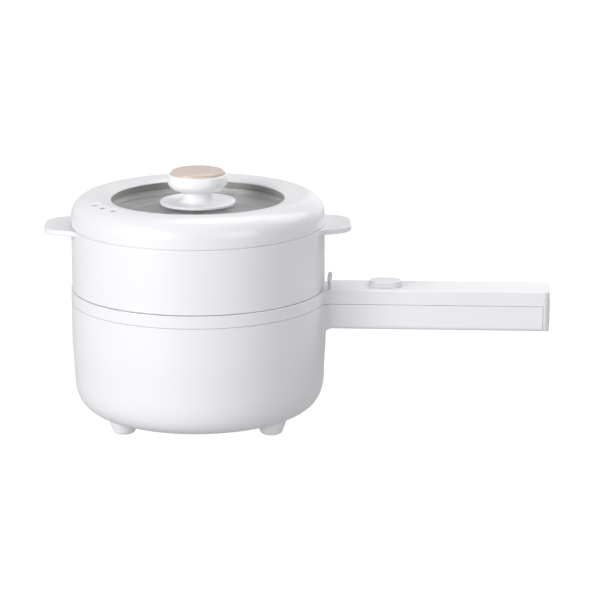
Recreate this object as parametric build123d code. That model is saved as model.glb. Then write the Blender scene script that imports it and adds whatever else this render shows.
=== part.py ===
from build123d import *
from math import cos, radians, sin, sqrt
import os

# Two-tier electric hot pot: a base pot with a bar handle, a steamer tier and a glass lid.
# Origin on the table under the pot's axis, +X along the handle, +Z up. Lengths in mm.

# ---- casing of the base -------------------------------------------------------------------
body_r = 101.4            # outer radius at the mouth and at the handle
body_draft = 1.4          # how much slimmer the casing is where its bottom corner starts
floor_z = 10.9             # underside of the casing above the table
casing_h = 102.5           # from that underside to the mouth
corner_w = 45.7           # width of the rounded bottom corner
corner_h = 33.7           # height of the rounded bottom corner
corner_fullness = 0.765    # 0.55 is a round corner, 1 a square one
wall = 2.4                # wall of casing and ring
ring_h = 9.8              # height of the ring above the split line
ring_edge = 0.5            # rounding of the ring's outer top edge
ring_deck = 4.2           # thickness of the ring's top at its outer edge
ring_w = 8.0              # from the casing's face to the opening that the pot hangs in
seat_w = 3.6              # width of the recess for the pot's flange
seat_depth = 2.2
split_gap = 0.3           # shadow gap between casing and ring
tongue = 1.9              # thickness of the ring's tongue inside the casing
tongue_h = 3.0
fit_gap = 0.2             # clearance of pieces that plug together
root_passage = 3.0        # way from casing to handle, in walls each side of the casing's face

# ---- screw fits ---------------------------------------------------------------------------
thread_gap = 0.05         # screw in its tapped hole
hole_gap = 0.25           # screw in a through hole
head_gap = 0.3            # screw head in its counterbore
socket_share = 0.6        # key hole in the head, against the shank

# ---- feet and bottom cover ----------------------------------------------------------------
foot_in = 32.4             # feet in from the casing's side
foot_angles = (-148, -28, 92)
foot_r = 8.2               # at the foot's lower end, before its rounding
foot_top_r = 13.0         # at the casing
foot_round = 4.0
foot_blend = 3.0          # fillet between foot and casing
foot_into = 3.0           # foot's cone carried up inside the casing's floor
foot_post_r = 5.0         # post over each foot that carries the heat shield
pad_r = 4.3
pad_h = 2.6
pad_proud = 0.6           # how far a pad stands out of its foot
pad_edge = 0.5
pad_gap = 0.1
cover_in = 4.6            # bottom cover's edge in from the end of the casing's flat floor
cover_t = 2.4
cover_edge = 0.6
ledge_w = 11.7            # width of the ledge above the cover
ledge_t = 2.0
ledge_lap = 2.0           # ledge carried into the casing's floor
cover_screw_in = 6.2      # screws in from the cover's edge
cover_screw_r = 1.45
cover_screw_end = 0.8     # screw short of its hole's end
cover_head_r = 2.9
cover_head_h = 1.1
cover_sink = 1.2          # counterbore for the screw heads
cover_boss_r = 3.4
cover_boss_gap = 0.4      # boss below the heat shield
cover_bore_cap = 1.0      # left over the tapped hole
vent_slot_w = 3.0
vent_slot_row_in = (20.0, 8.0)   # rows of cooling slots, in from the ledge
vent_slot_counts = (6, 10)
vent_slot_share = 0.62    # part of its ring that a row of slots opens

# ---- handle -------------------------------------------------------------------------------
handle_l = 177.2           # from the casing's face to the far end
handle_w = 35.0
handle_h = 32.2
handle_rise = 1.6         # top of the handle above the mouth
handle_step = 2.5          # where that raised top starts, out from the casing's face
handle_wall = 2.2
handle_top_edge = 1.5
handle_low_edge = 4.0
handle_corner = 5.0       # rounding of the far end in plan
handle_root = 7.0         # concave blend into the casing
end_wall_t = 5.0
handle_screw_out = 84.6   # first screw out from the casing's face
handle_screw_in = 39.0    # second screw in from the far end
handle_screw_r = 1.45
handle_screw_l = 12.0
handle_head_r = 3.1
handle_head_h = 2.0
handle_boss_r = 5.2
handle_boss_h = 8.0       # above the handle's underside
handle_boss_web = 2.4     # material that the screw head bears on
top_boss_r = 3.6
lug_out = 4.8              # lug out from the casing's face
lug_angle = -7.6
lug_t = 1.8
lug_h = 13.8
lug_head_w = 13.0
lug_head_h = 8.6
lug_stem_w = 3.6
lug_round = 0.63          # rounding of the head's edges
lug_peg = 1.6              # depth of the peg under the stem
lug_peg_in = 0.3          # peg smaller than the stem, each side
lug_peg_gap = 0.05

# ---- push button, switch and board --------------------------------------------------------
button_out = 47.5         # button's centre out from the casing's face
bezel_l = 27.2
bezel_w = 18.6
bezel_rise = 2.8          # bezel above the handle
bezel_wall = 0.7
bezel_edge = 0.25
bezel_neck = 0.2           # how much the neck is smaller than the bezel, each side
button_rise = 1.9         # cap above the bezel
button_gap = 0.3
button_edge = 0.9
button_travel = 1.2
button_skirt = 3.6
button_wall = 1.5
button_top_t = 2.4
button_stem_r = 2.4
button_stem_lap = 0.4     # stem carried into the cap's top
bezel_neck_h = 1.0        # neck below the inside of the handle's top
bezel_gap = 0.05
bezel_seam = 0.3           # shadow gap between bezel and handle
board_l = 46.0
board_w = 24.0
board_t = 1.6
board_drop = 5.2          # board's top below the inside of the handle's top
board_screw_in = 4.0      # screws in from the board's ends
board_screw_r = 0.95
board_screw_l = 5.6
board_head_r = 2.2
board_head_h = 1.4
board_boss_r = 2.6
relay_l = 10.0
relay_w = 12.0
relay_h = 8.0
relay_at = (-10.0, -3.0)  # from the board's centre
capacitor_r = 3.2
capacitor_h = 9.0
capacitor_at = (8.0, 4.0)
switch_side = 6.0
switch_h = 3.4
switch_floor = 0.1
plunger_r = 1.6
plunger_gap = 0.05
plunger_low = 1.4         # plunger's lower end above the board
plunger_over = 0.4        # plunger above the switch when pressed

# ---- appliance inlet ----------------------------------------------------------------------
inlet_side_gap = 0.2      # between inlet and the handle's walls
inlet_top_gap = 2.8        # between inlet and the handle's top and floor
inlet_l = 23.0
inlet_wall = 1.9          # round the socket's mouth
inlet_well = 18.0
inlet_flange = 1.2
inlet_gap = 0.1
inlet_drop = 0.2          # inlet's axis below the middle of the handle
blade_w = 4.0
blade_t = 2.0
blade_l = 23.0
blade_pitch = 7.0
blade_drop = 2.5          # outer blades below the middle one
blade_in = 3.5            # blade tips behind the end of the handle

# ---- pot and heater -----------------------------------------------------------------------
pot_wall = 1.5
pot_gap = 0.4             # round the pot in the ring's opening
pot_rise = 24.9            # inside floor above the casing's underside
pot_floor = 2.5
pot_corner = 12.0
pot_lip = 1.4             # rounding where wall and flange meet
pot_flange_gap = 0.4      # round the flange in its recess
pot_flange_edge = 0.6
seal_t = 0.6
seal_in = 0.2             # seal back from the ring's opening
plate_in = 29.5           # heating plate in from the pot's wall
plate_t = 6.0
plate_bore_r = 17.0
tube_in = 16.0            # tube's circle in from the plate's edge
tube_r = 4.0
tube_gap_angle = 25.0     # half of the gap between the tube's two ends
terminal_r = 1.6
terminal_l = 9.0
spacer_r = 3.6
spacer_h = 6.2
groove_round = 3.6        # rounding of the plate's groove over the tube
shield_out = 7.0          # shield's edge out from the feet's circle
shield_bore_r = 20.0
shield_t = 0.8
plate_screw_in = 7.0      # screws in from the plate's edge
plate_screw_angles = (60, 180, 300)
plate_screw_r = 1.9
plate_screw_grip = 4.0    # screw's reach into the plate
plate_bore_cap = 1.0      # left over the tapped hole
plate_head_r = 3.4
plate_head_h = 1.4
thermostat_r = 8.2
thermostat_drop = 3.0     # below the plate's underside
thermostat_edge = 1.0
tab_w = 3.2
tab_reach = 14.0
tab_t = 0.8
tab_low = 0.6             # above the thermostat's underside
bracket_lap = 9.0         # bracket's ends out from the plate's bore
bracket_w = 10.0
bracket_t = 1.0
fuse_r = 2.2
fuse_l = 16.0
fuse_in = 12.0            # fuse in from the heating tube
fuse_gap = 0.1
clip_t = 0.5
clip_w = 6.0
lead_r = 1.1
lead_y = 7.7
lead_gap = 0.6            # over the floor of the handle
lead_pot_gap = 1.2        # from the pot's wall
lead_bend = 8.0
lead_root_bend = 3.5      # bend from the handle down into the casing
lead_slope = 14.0         # run that takes the lead from the inlet down to the floor
lead_turn = 16.7          # turn in under the pot, above the heating tube
lead_under_in = 7.5       # where it levels out, in from the pot's wall

# ---- steamer ------------------------------------------------------------------------------
tier_gap = 0.4            # shadow gap under the steamer and under the lid
steamer_in = 1.0           # steamer's side in from the casing's face
steamer_h = 50.65
steamer_wall = 2.4
steamer_corner = 0.45
steamer_floor_rise = 2.2  # floor's underside above the steamer's foot
steamer_floor_t = 2.2
steamer_draft = 0.6       # inside wall, from floor to rim
steamer_inner_corner = 5.0
steamer_bead_out = 1.8    # bead that stands on the pot's flange, out from the pot's wall
steamer_bead_w = 2.2
skirt_gap = 0.9           # locating skirt in from the pot's wall
skirt_t = 2.0
skirt_h = 7.8
hole_r = 2.5
hole_ring_pitch = 12.0
hole_margin = 8.0         # plain band left inside the skirt
steamer_turn = 4.6        # the ears' line against the handle's, as set down
ear_reach = 20.9          # beyond the steamer's wall
ear_root_half = 31.0
ear_tip_half = 22.5
ear_corner = 19.0
ear_t = 4.4
ear_flare = 12.0
ear_edge = 0.8

# ---- lid ----------------------------------------------------------------------------------
lid_in = 0.1              # lid's side in from the steamer's
lid_side_h = 7.55
lid_corner_w = 18.9
lid_corner_h = 15.5
lid_fullness = 0.578
lid_wall = 2.5
lid_edge = 0.5
lid_bead_out = 0.1        # bead that stands on the steamer's rim, out from its inside
lid_bead_w = 1.2
lid_band = 31.6            # from the lid's side to its window
lip_drop = 2.9             # from the crown down to the lip
lip_round = 0.6
lip_t = 0.9
land_t = 1.8              # collar round the gasket
land_gap = 0.1
crown_land = 4.0          # where the crown's inside turns down to the collar
vent_in = 13.4             # steam vents in from the lid's side
vent_angles = (-150.5, -142.0, -132.9)
vent_r = 1.7
vent_sink_r = 4.5          # widest radius of the countersink's cone
vent_sink_h = 2.4
vent_sink_drop = 2.3       # cone's lower end below the crown
vent_clear_r = 2.1        # matching hole in the ring below
gasket_step = 0.5         # gasket's inside out from the window's edge
gasket_w = 3.8
gasket_low = 1.5          # gasket below the glass
gasket_edge = 0.5
glass_t = 3.4
glass_edge = 0.6
glass_grip = 1.85         # how far the gasket's groove takes the glass
glass_below_lip = 6.0
glass_gap = 0.05
glass_bore_r = 4.2
inner_ring_step = 1.3     # its bore out from the window's edge
inner_ring_t = 2.2
inner_ring_h = 7.0        # from its underside up to the gasket
lid_skirt_t = 2.2
lid_skirt_h = 6.4         # how far the skirt reaches into the steamer
lid_skirt_gap = 0.8
lid_skirt_edge = 0.8
lid_screw_in = 14.9       # screws in from the lid's side
lid_screw_angles = (20, 110, 200, 290)
lid_screw_r = 1.25
lid_screw_grip = 7.0      # screw's reach into the boss
lid_head_r = 2.7
lid_head_h = 1.6
lid_boss_r = 3.4
lid_boss_lap = 0.8        # boss carried into the crown
lid_bore_h = 9.0

# ---- knob ---------------------------------------------------------------------------------
seal_disc_in = 5.0        # clear disc's edge in from the dish's
seal_disc_t = 0.8
dish_r = 30.0
dish_h = 3.0
dish_floor_t = 1.2
dish_rim = 1.4
dish_slope_w = 8.0         # from the rim's inside down to the floor
dish_foot_in = 4.5         # underside smaller than the rim
dish_rim_h = 2.2          # upright edge of the rim
dish_fall = 0.6           # floor's rise towards the stem
dish_edge = 0.8            # rounding of the underside
dish_bowl = 25.0           # rounding where the slope meets the floor
dish_rim_edge = 0.45      # rounding of the rim's two top edges
stem_r = 11.6
stem_h = 10.1              # from the dish's underside to the grip
stem_flare = 4.0
grip_r = 23.8
grip_h = 14.3
grip_shoulder = 6.4        # widest place below the grip's top
grip_land = 1.0           # flat rim round the cap
grip_neck = (4.5, 0.6)    # how the underside leaves the stem: out and up
grip_belly = 3.0          # height over which the underside turns upright
cap_in = 2.5               # cap's edge in from the grip's side
cap_t = 2.4
cap_gap = 0.3
cap_dome = 3.6
cap_edge = (0.1, 3.3)      # steep edge of the dome: in and up
cap_turn = 1.9             # how far in the dome's edge flattens
insert_r = 3.6
insert_h = 8.4
insert_cap = 1.0          # closed end of the insert
knob_screw_r = 2.4
knob_head_r = 5.0
knob_head_h = 2.6
knob_screw_end = 2.0      # screw short of the insert's closed end
knob_gap = 0.1            # screw in the pieces it passes
washer_r = 9.0
washer_t = 1.2

# ---- radii and places that follow ---------------------------------------------------------
body_low_r = body_r - body_draft
flat_r = body_low_r - corner_w
ring_bore_r = body_r - ring_w
seat_r = ring_bore_r + seat_w
foot_circle_r = body_low_r - foot_in
cover_r = flat_r - cover_in
ledge_r = cover_r - ledge_w
cover_screw_circle_r = cover_r - cover_screw_in
handle_step_r = body_r + handle_step
handle_end_x = body_r + handle_l
end_wall_x = handle_end_x - end_wall_t
handle_screw_x = (body_r + handle_screw_out, handle_end_x - handle_screw_in)
lug_r = body_r + lug_out
button_x = body_r + button_out
inlet_w = handle_w - 2 * (handle_wall + inlet_flange + inlet_side_gap)
inlet_h = handle_h - 2 * (handle_wall + inlet_flange + inlet_top_gap)
blade_back_x = handle_end_x - blade_in - blade_l
pot_r = ring_bore_r - pot_gap - pot_wall
pot_flange_r = seat_r - pot_flange_gap
plate_r = pot_r - plate_in
tube_circle_r = plate_r - tube_in
plate_screw_circle_r = plate_r - plate_screw_in
shield_r = foot_circle_r + shield_out
fuse_y = tube_circle_r - tube_r - fuse_in
steamer_r = body_r - steamer_in
steamer_bead_r = pot_r + steamer_bead_out
skirt_r = pot_r - skirt_gap
lid_r = steamer_r - lid_in
lid_bead_r = steamer_r - steamer_wall + lid_bead_out
crown_r = lid_r - lid_corner_w
window_r = lid_r - lid_band
vent_circle_r = lid_r - vent_in
lid_screw_circle_r = lid_r - lid_screw_in
gasket_r = window_r + gasket_step
gasket_out_r = gasket_r + gasket_w
inner_ring_r = window_r + inner_ring_step
cap_r = grip_r - cap_in

# ---- heights that follow ------------------------------------------------------------------
mouth_z = floor_z + casing_h
split_z = mouth_z - ring_h
handle_top_z = mouth_z + handle_rise
handle_low_z = handle_top_z - handle_h
straight_z = handle_low_z - handle_root - 2.0
corner_z = floor_z + corner_h
cover_top_z = floor_z + cover_t
inside_z = handle_top_z - handle_wall
flange_z = mouth_z - seat_depth + seal_t
flange_top_z = flange_z + pot_wall
pot_floor_z = floor_z + pot_rise
plate_top_z = pot_floor_z - pot_floor
plate_z = plate_top_z - plate_t
tube_z = plate_z - tube_r / 2
thermostat_z = plate_z - thermostat_drop
fuse_z = plate_z - fuse_r - fuse_gap
shield_z = plate_z - spacer_h - shield_t
cover_boss_z = shield_z - cover_boss_gap
cover_bore_z = cover_boss_z - cover_bore_cap
steamer_z = mouth_z + tier_gap
steamer_top_z = steamer_z + steamer_h
lid_z = steamer_top_z + tier_gap
crown_z = lid_z + lid_side_h + lid_corner_h
lip_z = crown_z - lip_drop
shelf_z = lip_z - lip_t
glass_top_z = lip_z - glass_below_lip
glass_z = glass_top_z - glass_t
gasket_z = glass_z - gasket_low
inner_ring_z = gasket_z - inner_ring_h
inner_ring_top_z = inner_ring_z + inner_ring_t
dish_z = glass_top_z + seal_disc_t
grip_z = dish_z + stem_h
grip_top_z = grip_z + grip_h
insert_z = dish_z + dish_floor_t
washer_z = glass_z - washer_t
inlet_z = handle_top_z - handle_h / 2 - inlet_drop
board_top_z = inside_z - board_drop
board_z = board_top_z - board_t
plunger_top_z = board_top_z + switch_h + button_travel + plunger_over
bezel_top_z = handle_top_z + bezel_rise
button_top_z = bezel_top_z + button_rise

FROM_BELOW = (Align.CENTER, Align.CENTER, Align.MIN)


# ---- small helpers ------------------------------------------------------------------------
def turned(points, rounds=None):
    """Solid turned about +Z from a closed outline of (radius, height) corners."""
    rounds = rounds or {}
    radii = [rounds.get(i, 0) for i in range(len(points))]
    corners = [(r, 0, z) for r, z in points]
    return revolve(make_face(FilletPolyline(*corners, radius=radii, close=True)), Axis.Z)


def hoop(inner, outer, low, high):
    """Plain ring of rectangular section."""
    return turned([(inner, low), (outer, low), (outer, high), (inner, high)])


def post(x, y, radius, low, high):
    return Pos(x, y, low) * Cylinder(radius, high - low, align=FROM_BELOW)


def block(x0, x1, y0, y1, z0, z1):
    return Pos((x0 + x1) / 2, (y0 + y1) / 2, z0) * Box(x1 - x0, y1 - y0, z1 - z0, align=FROM_BELOW)


def spots(radius, angles):
    """Points on a circle about the pot's axis."""
    return [(radius * cos(radians(a)), radius * sin(radians(a))) for a in angles]


def even(count, start=0.0):
    return [start + 360.0 * i / count for i in range(count)]


def oval(length, width, low, high):
    """Upright prism with a stadium outline, long side along +X, over the button's centre."""
    return Pos(button_x, 0, low) * extrude(SlotOverall(length, width), high - low)


def screw(x, y, head_z, head_r, head_h, shank_r, length):
    """Round-headed screw driven upwards; head_z is the face that the head bears on."""
    head = post(x, y, head_r, head_z - head_h, head_z)
    shank = post(x, y, shank_r, head_z, head_z + length)
    socket = post(x, y, shank_r * socket_share, head_z - head_h, head_z - head_h / 2)
    return head + shank - socket


# ---- casing -------------------------------------------------------------------------------
def bowl(inset, top):
    """Solid inside the casing's outline, moved inwards by inset, up to the height top."""
    low = floor_z + inset
    foot_end = (flat_r, 0, low)
    corner_end = (body_low_r - inset, 0, corner_z)
    side_end = (body_r - inset, 0, straight_z)
    reach = (straight_z - corner_z) / 3
    outline = [
        Line((0, 0, low), foot_end),
        Bezier(
            foot_end,
            (flat_r + corner_fullness * (corner_w - inset), 0, low),
            (body_low_r - inset, 0, corner_z - corner_fullness * (corner_h - inset)),
            corner_end,
        ),
        Bezier(
            corner_end,
            (body_low_r - inset, 0, corner_z + reach),
            (body_r - inset, 0, straight_z - reach),
            side_end,
        ),
        Line(side_end, (body_r - inset, 0, top)),
        Line((body_r - inset, 0, top), (0, 0, top)),
        Line((0, 0, top), (0, 0, low)),
    ]
    return revolve(make_face(outline), Axis.Z)


def casing_form():
    """Outer form of casing, feet, ring and handle in one, before it is split and hollowed."""
    half = handle_w / 2
    bar = block(0, handle_end_x, -half, half, handle_low_z, mouth_z)
    ends = bar.edges().filter_by(Axis.Z).filter_by(lambda e: e.center().X > body_r)
    bar = fillet(ends, handle_corner)
    section = block(0, handle_end_x + handle_corner, -half, half, handle_low_z, mouth_z)
    long_edges = section.edges().filter_by(Axis.X).filter_by(lambda e: e.center().Z < handle_low_z + 0.01)
    bar = bar & fillet(long_edges, handle_low_edge)
    form = bowl(0, mouth_z) + bar

    def near_root(edge):
        c = edge.center()
        return (
            body_r - 3 < c.X < body_r + 1
            and abs(c.Y) < half + 0.5
            and handle_low_z - 0.5 < c.Z < mouth_z - 1
        )

    form = fillet(form.edges().filter_by(near_root), handle_root)
    deck = form.faces().filter_by(lambda f: abs(f.center().Z - mouth_z) < 0.01).sort_by(SortBy.AREA)[-1]
    form += extrude(deck, handle_rise)
    top_edges = form.edges().filter_by(lambda e: abs(e.center().Z - handle_top_z) < 0.01)
    form = fillet(top_edges, handle_top_edge)
    form -= post(0, 0, handle_step_r, mouth_z, handle_top_z + 1)

    def ring_rim(edge):
        return (
            abs(edge.center().Z - mouth_z) < 0.01
            and edge.geom_type == GeomType.CIRCLE
            and abs(edge.radius - body_r) < 0.01
        )

    form = fillet(form.edges().filter_by(ring_rim), ring_edge)

    foot_top_z = floor_z + foot_into
    foot = turned(
        [(0, pad_proud), (foot_r, pad_proud), (foot_top_r, foot_top_z), (0, foot_top_z)], {1: foot_round}
    )
    feet = spots(foot_circle_r, foot_angles)
    for x, y in feet:
        form += Pos(x, y, 0) * foot

    def foot_top(edge):
        p = edge.position_at(0.5)
        off = [sqrt((p.X - x) ** 2 + (p.Y - y) ** 2) for x, y in feet]
        return floor_z - 0.5 < p.Z < foot_top_z + 1.5 and foot_r + 2 < min(off) < foot_top_r + 1

    return fillet(form.edges().filter_by(foot_top), foot_blend)


def handle_channel(low, high, x_end):
    """Space inside the handle between two heights."""
    half = handle_w / 2 - handle_wall
    return block(body_r + handle_wall, x_end, -half, half, low, high)


def outer_housing(form):
    """Casing, feet and lower half of the handle: one moulding."""
    far = 2 * handle_end_x
    shell = form & block(-far, end_wall_x - split_gap, -far, far, 0, split_z - split_gap)
    channel_z = handle_low_z + handle_wall
    shell -= bowl(wall, mouth_z)
    shell -= handle_channel(channel_z, mouth_z, end_wall_x)
    half = handle_w / 2 - handle_wall - handle_corner
    reach = root_passage * wall
    shell -= block(body_r - reach, body_r + reach, -half, half, channel_z, mouth_z)
    shell += hoop(ledge_r, cover_r + ledge_lap, cover_top_z, cover_top_z + ledge_t)
    shell -= post(0, 0, cover_r + fit_gap, 0, cover_top_z)
    shell -= post(0, 0, ledge_r, 0, cover_top_z + ledge_t)
    for x, y in spots(cover_screw_circle_r, foot_angles):
        shell += post(x, y, cover_boss_r, cover_top_z, cover_boss_z)
        shell -= post(x, y, cover_screw_r + thread_gap, 0, cover_bore_z)
    for x, y in spots(foot_circle_r, foot_angles):
        shell += post(x, y, foot_post_r, floor_z + 1, shield_z)
        shell -= post(x, y, pad_r + pad_gap, 0, pad_h)
    boss_z = handle_low_z + handle_boss_h
    for x in handle_screw_x:
        shell += post(x, 0, handle_boss_r, handle_low_z + 1, boss_z)
        shell -= post(x, 0, handle_head_r + head_gap, 0, boss_z - handle_boss_web)
        shell -= post(x, 0, handle_screw_r + hole_gap, 0, boss_z)
    return shell


def rim_cover(form):
    """Ring round the mouth, top of the handle and its end wall: one moulding."""
    far = 2 * handle_end_x
    upper = block(-far, far, -far, far, split_z, far) + block(end_wall_x, far, -far, far, 0, far)
    cover = form & upper
    deck_z = mouth_z - ring_deck
    seat_z = mouth_z - seat_depth
    inner_wall_r = ring_bore_r + wall
    tongue_r = body_r - wall - fit_gap
    tongue_z = split_z - tongue_h
    cover -= turned([
        (0, tongue_z),
        (body_r - wall, tongue_z),
        (body_r - wall, deck_z),
        (inner_wall_r, deck_z),
        (inner_wall_r, split_z + wall),
        (ring_bore_r, split_z + wall),
        (ring_bore_r, seat_z),
        (seat_r, seat_z),
        (seat_r, mouth_z + 1),
        (0, mouth_z + 1),
    ])
    cover += hoop(tongue_r - tongue, tongue_r, tongue_z, deck_z + wall / 4)
    half = handle_w / 2
    cover -= block(body_r - 5 * wall, body_r - wall / 2, -half, half, tongue_z, split_z)
    cover -= handle_channel(split_z - 1, inside_z, end_wall_x)
    for x in handle_screw_x:
        low = handle_low_z + handle_boss_h + fit_gap
        cover += post(x, 0, top_boss_r, low, handle_top_z - handle_wall / 2)
        cover -= post(x, 0, handle_screw_r + thread_gap, low, low + handle_screw_l)
    for x in board_screw_x():
        cover += post(x, 0, board_boss_r, board_top_z, handle_top_z - handle_wall / 2)
        cover -= post(x, 0, board_screw_r + thread_gap, board_z, board_z + board_screw_l + thread_gap)
    neck_l = bezel_l - 2 * bezel_neck
    neck_w = bezel_w - 2 * bezel_neck
    cover -= oval(neck_l + 2 * bezel_gap, neck_w + 2 * bezel_gap, inside_z - 1, handle_top_z + 1)
    window = Box(3 * end_wall_t, inlet_w + 2 * inlet_gap, inlet_h + 2 * inlet_gap)
    cover -= Pos(end_wall_x, 0, inlet_z) * window
    cover -= lug_peg_shape(lug_peg_gap)
    return cover


def lug_frame():
    """Frame of the lug: +X outwards from the pot, +Y along the ring, +Z up."""
    x, y = spots(lug_r, [lug_angle])[0]
    return Pos(x, y, handle_top_z) * Rot(0, 0, lug_angle)


def lug_peg_shape(gap):
    less = 2 * (lug_peg_in - gap)
    peg = Box(lug_t - less, lug_stem_w - less, lug_peg, align=(Align.CENTER, Align.CENTER, Align.MAX))
    return lug_frame() * peg


def lid_stop_lug():
    """Upright lug with an oval head that a tilted lid leans on."""
    head_z = lug_h - lug_head_h / 2
    head = extrude(Ellipse(lug_head_h / 2, lug_head_w / 2), lug_t / 2, both=True)
    head = fillet(head.edges().filter_by(GeomType.ELLIPSE), lug_round)
    stem = Box(lug_t, lug_stem_w, head_z, align=FROM_BELOW)
    lug = Pos(0, 0, head_z) * Rot(0, 90, 0) * head + stem
    return lug_frame() * lug + lug_peg_shape(0)


def foot_pads():
    pad = turned([(0, 0), (pad_r, 0), (pad_r, pad_h), (0, pad_h)], {1: pad_edge})
    return [Pos(x, y, 0) * pad for x, y in spots(foot_circle_r, foot_angles)]


def base_plate():
    """Bottom cover with two rings of cooling slots."""
    plate = turned([
        (0, floor_z), (cover_r, floor_z), (cover_r, cover_top_z), (0, cover_top_z),
    ], {1: cover_edge})
    for inset, count in zip(vent_slot_row_in, vent_slot_counts):
        length = 360.0 / count * vent_slot_share
        for angle in even(count):
            slot = SlotArc(CenterArc((0, 0), ledge_r - inset, angle, length), vent_slot_w)
            plate -= Pos(0, 0, floor_z) * extrude(slot, cover_t)
    for x, y in spots(cover_screw_circle_r, foot_angles):
        plate -= post(x, y, cover_screw_r + hole_gap, floor_z, cover_top_z)
        plate -= post(x, y, cover_head_r + head_gap, floor_z, floor_z + cover_sink)
    return plate


def base_screws():
    bearing = floor_z + cover_sink
    sizes = (cover_head_r, cover_head_h, cover_screw_r, cover_bore_z - cover_screw_end - bearing)
    return [screw(x, y, bearing, *sizes) for x, y in spots(cover_screw_circle_r, foot_angles)]


def handle_screws():
    bearing = handle_low_z + handle_boss_h - handle_boss_web
    sizes = (handle_head_r, handle_head_h, handle_screw_r, handle_screw_l)
    return [screw(x, 0, bearing, *sizes) for x in handle_screw_x]


# ---- button, switch, board ----------------------------------------------------------------
def button_bezel():
    """Oval collar; its neck goes through the handle's top."""
    inner_l = bezel_l - 2 * bezel_wall
    inner_w = bezel_w - 2 * bezel_wall
    collar_low = handle_top_z + bezel_seam
    collar = oval(bezel_l, bezel_w, collar_low, bezel_top_z)
    rim = collar.edges().filter_by(lambda e: abs(e.center().Z - bezel_top_z) < 0.01)
    collar = fillet(rim, bezel_edge)
    neck_low = inside_z - bezel_neck_h
    neck = oval(bezel_l - 2 * bezel_neck, bezel_w - 2 * bezel_neck, neck_low, collar_low)
    return collar + neck - oval(inner_l, inner_w, neck_low, bezel_top_z)


def power_button():
    """Domed push button with a stem down to the switch."""
    length = bezel_l - 2 * (bezel_wall + button_gap)
    width = bezel_w - 2 * (bezel_wall + button_gap)
    low = bezel_top_z - button_skirt
    inside = button_top_z - button_top_t
    cap = oval(length, width, low, button_top_z)
    rim = cap.edges().filter_by(lambda e: abs(e.center().Z - button_top_z) < 0.01)
    cap = fillet(rim, button_edge)
    cap -= oval(length - 2 * button_wall, width - 2 * button_wall, low, inside)
    return cap + post(button_x, 0, button_stem_r, plunger_top_z, inside + button_stem_lap)


def switch_plunger():
    return post(button_x, 0, plunger_r, board_top_z + plunger_low, plunger_top_z)


def button_switch():
    """Switch body with the well that its plunger moves in."""
    half = switch_side / 2
    top = board_top_z + switch_h
    body = block(button_x - half, button_x + half, -half, half, board_top_z, top)
    return body - post(button_x, 0, plunger_r + plunger_gap, board_top_z + switch_floor, top)


def board_screw_x():
    spread = board_l / 2 - board_screw_in
    return (button_x - spread, button_x + spread)


def control_board():
    half_l = board_l / 2
    board = block(button_x - half_l, button_x + half_l, -board_w / 2, board_w / 2, board_z, board_top_z)
    for x in board_screw_x():
        board -= post(x, 0, board_screw_r + hole_gap, board_z, board_top_z)
    relay = Box(relay_l, relay_w, relay_h, align=(Align.CENTER, Align.CENTER, Align.MAX))
    board += Pos(button_x + relay_at[0], relay_at[1], board_z) * relay
    x = button_x + capacitor_at[0]
    board += post(x, capacitor_at[1], capacitor_r, board_z - capacitor_h, board_z)
    return board


def board_screws():
    sizes = (board_head_r, board_head_h, board_screw_r, board_screw_l)
    return [screw(x, 0, board_z, *sizes) for x in board_screw_x()]


# ---- appliance inlet ----------------------------------------------------------------------
def power_inlet():
    """Three-blade appliance inlet flush with the end wall, shouldered behind it."""
    back = handle_end_x - inlet_l
    mouth_h = inlet_h - 2 * inlet_wall
    body = block(back, handle_end_x, -inlet_w / 2, inlet_w / 2, inlet_z - inlet_h / 2, inlet_z + inlet_h / 2)
    flange = block(
        end_wall_x - inlet_flange, end_wall_x, -inlet_w / 2 - inlet_flange, inlet_w / 2 + inlet_flange,
        inlet_z - inlet_h / 2 - inlet_flange, inlet_z + inlet_h / 2 + inlet_flange,
    )
    well = block(
        handle_end_x - inlet_well, handle_end_x + 1, inlet_wall - inlet_w / 2, inlet_w / 2 - inlet_wall,
        inlet_z - mouth_h / 2, inlet_z + mouth_h / 2,
    )
    top_edges = well.edges().filter_by(Axis.X).filter_by(lambda e: e.center().Z > inlet_z)
    well = chamfer(top_edges, mouth_h / 4)
    inlet = body + flange - well
    for y, z in blade_spots():
        inlet -= blade(y, z)
    return inlet


def blade_spots():
    return [
        (-blade_pitch, inlet_z - blade_drop / 2),
        (0, inlet_z + blade_drop / 2),
        (blade_pitch, inlet_z - blade_drop / 2),
    ]


def blade(y, z):
    low = z - blade_w / 2
    return block(blade_back_x, blade_back_x + blade_l, y - blade_t / 2, y + blade_t / 2, low, low + blade_w)


def inlet_pins():
    return [blade(y, z) for y, z in blade_spots()]


def lead(side):
    """Insulated wire from the inlet through the handle to one end of the heating tube."""
    angle = radians(tube_gap_angle)
    end_x = tube_circle_r * cos(angle) + terminal_l * sin(angle) + terminal_r
    end_y = tube_circle_r * sin(angle) - terminal_l * cos(angle)
    floor = handle_low_z + handle_wall + lead_r + lead_gap
    down_x = pot_r + pot_wall + lead_r + lead_pot_gap
    blade_z = blade_spots()[0][1]
    route = [
        (blade_back_x - fit_gap, side * blade_pitch, blade_z),
        (blade_back_x - lead_bend, side * blade_pitch, blade_z),
        (blade_back_x - lead_bend - lead_slope, side * lead_y, floor),
        (down_x, side * lead_y, floor),
        (down_x, side * lead_y, tube_z + lead_turn),
        (pot_r - lead_under_in, side * lead_y, tube_z),
        (end_x, side * end_y, tube_z),
    ]
    path = FilletPolyline(*route, radius=[lead_bend, lead_bend, lead_root_bend, lead_bend, lead_bend])
    section = Plane(route[0], z_dir=Vector(*route[1]) - Vector(*route[0])) * Circle(lead_r)
    return sweep(section, path=path)


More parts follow.
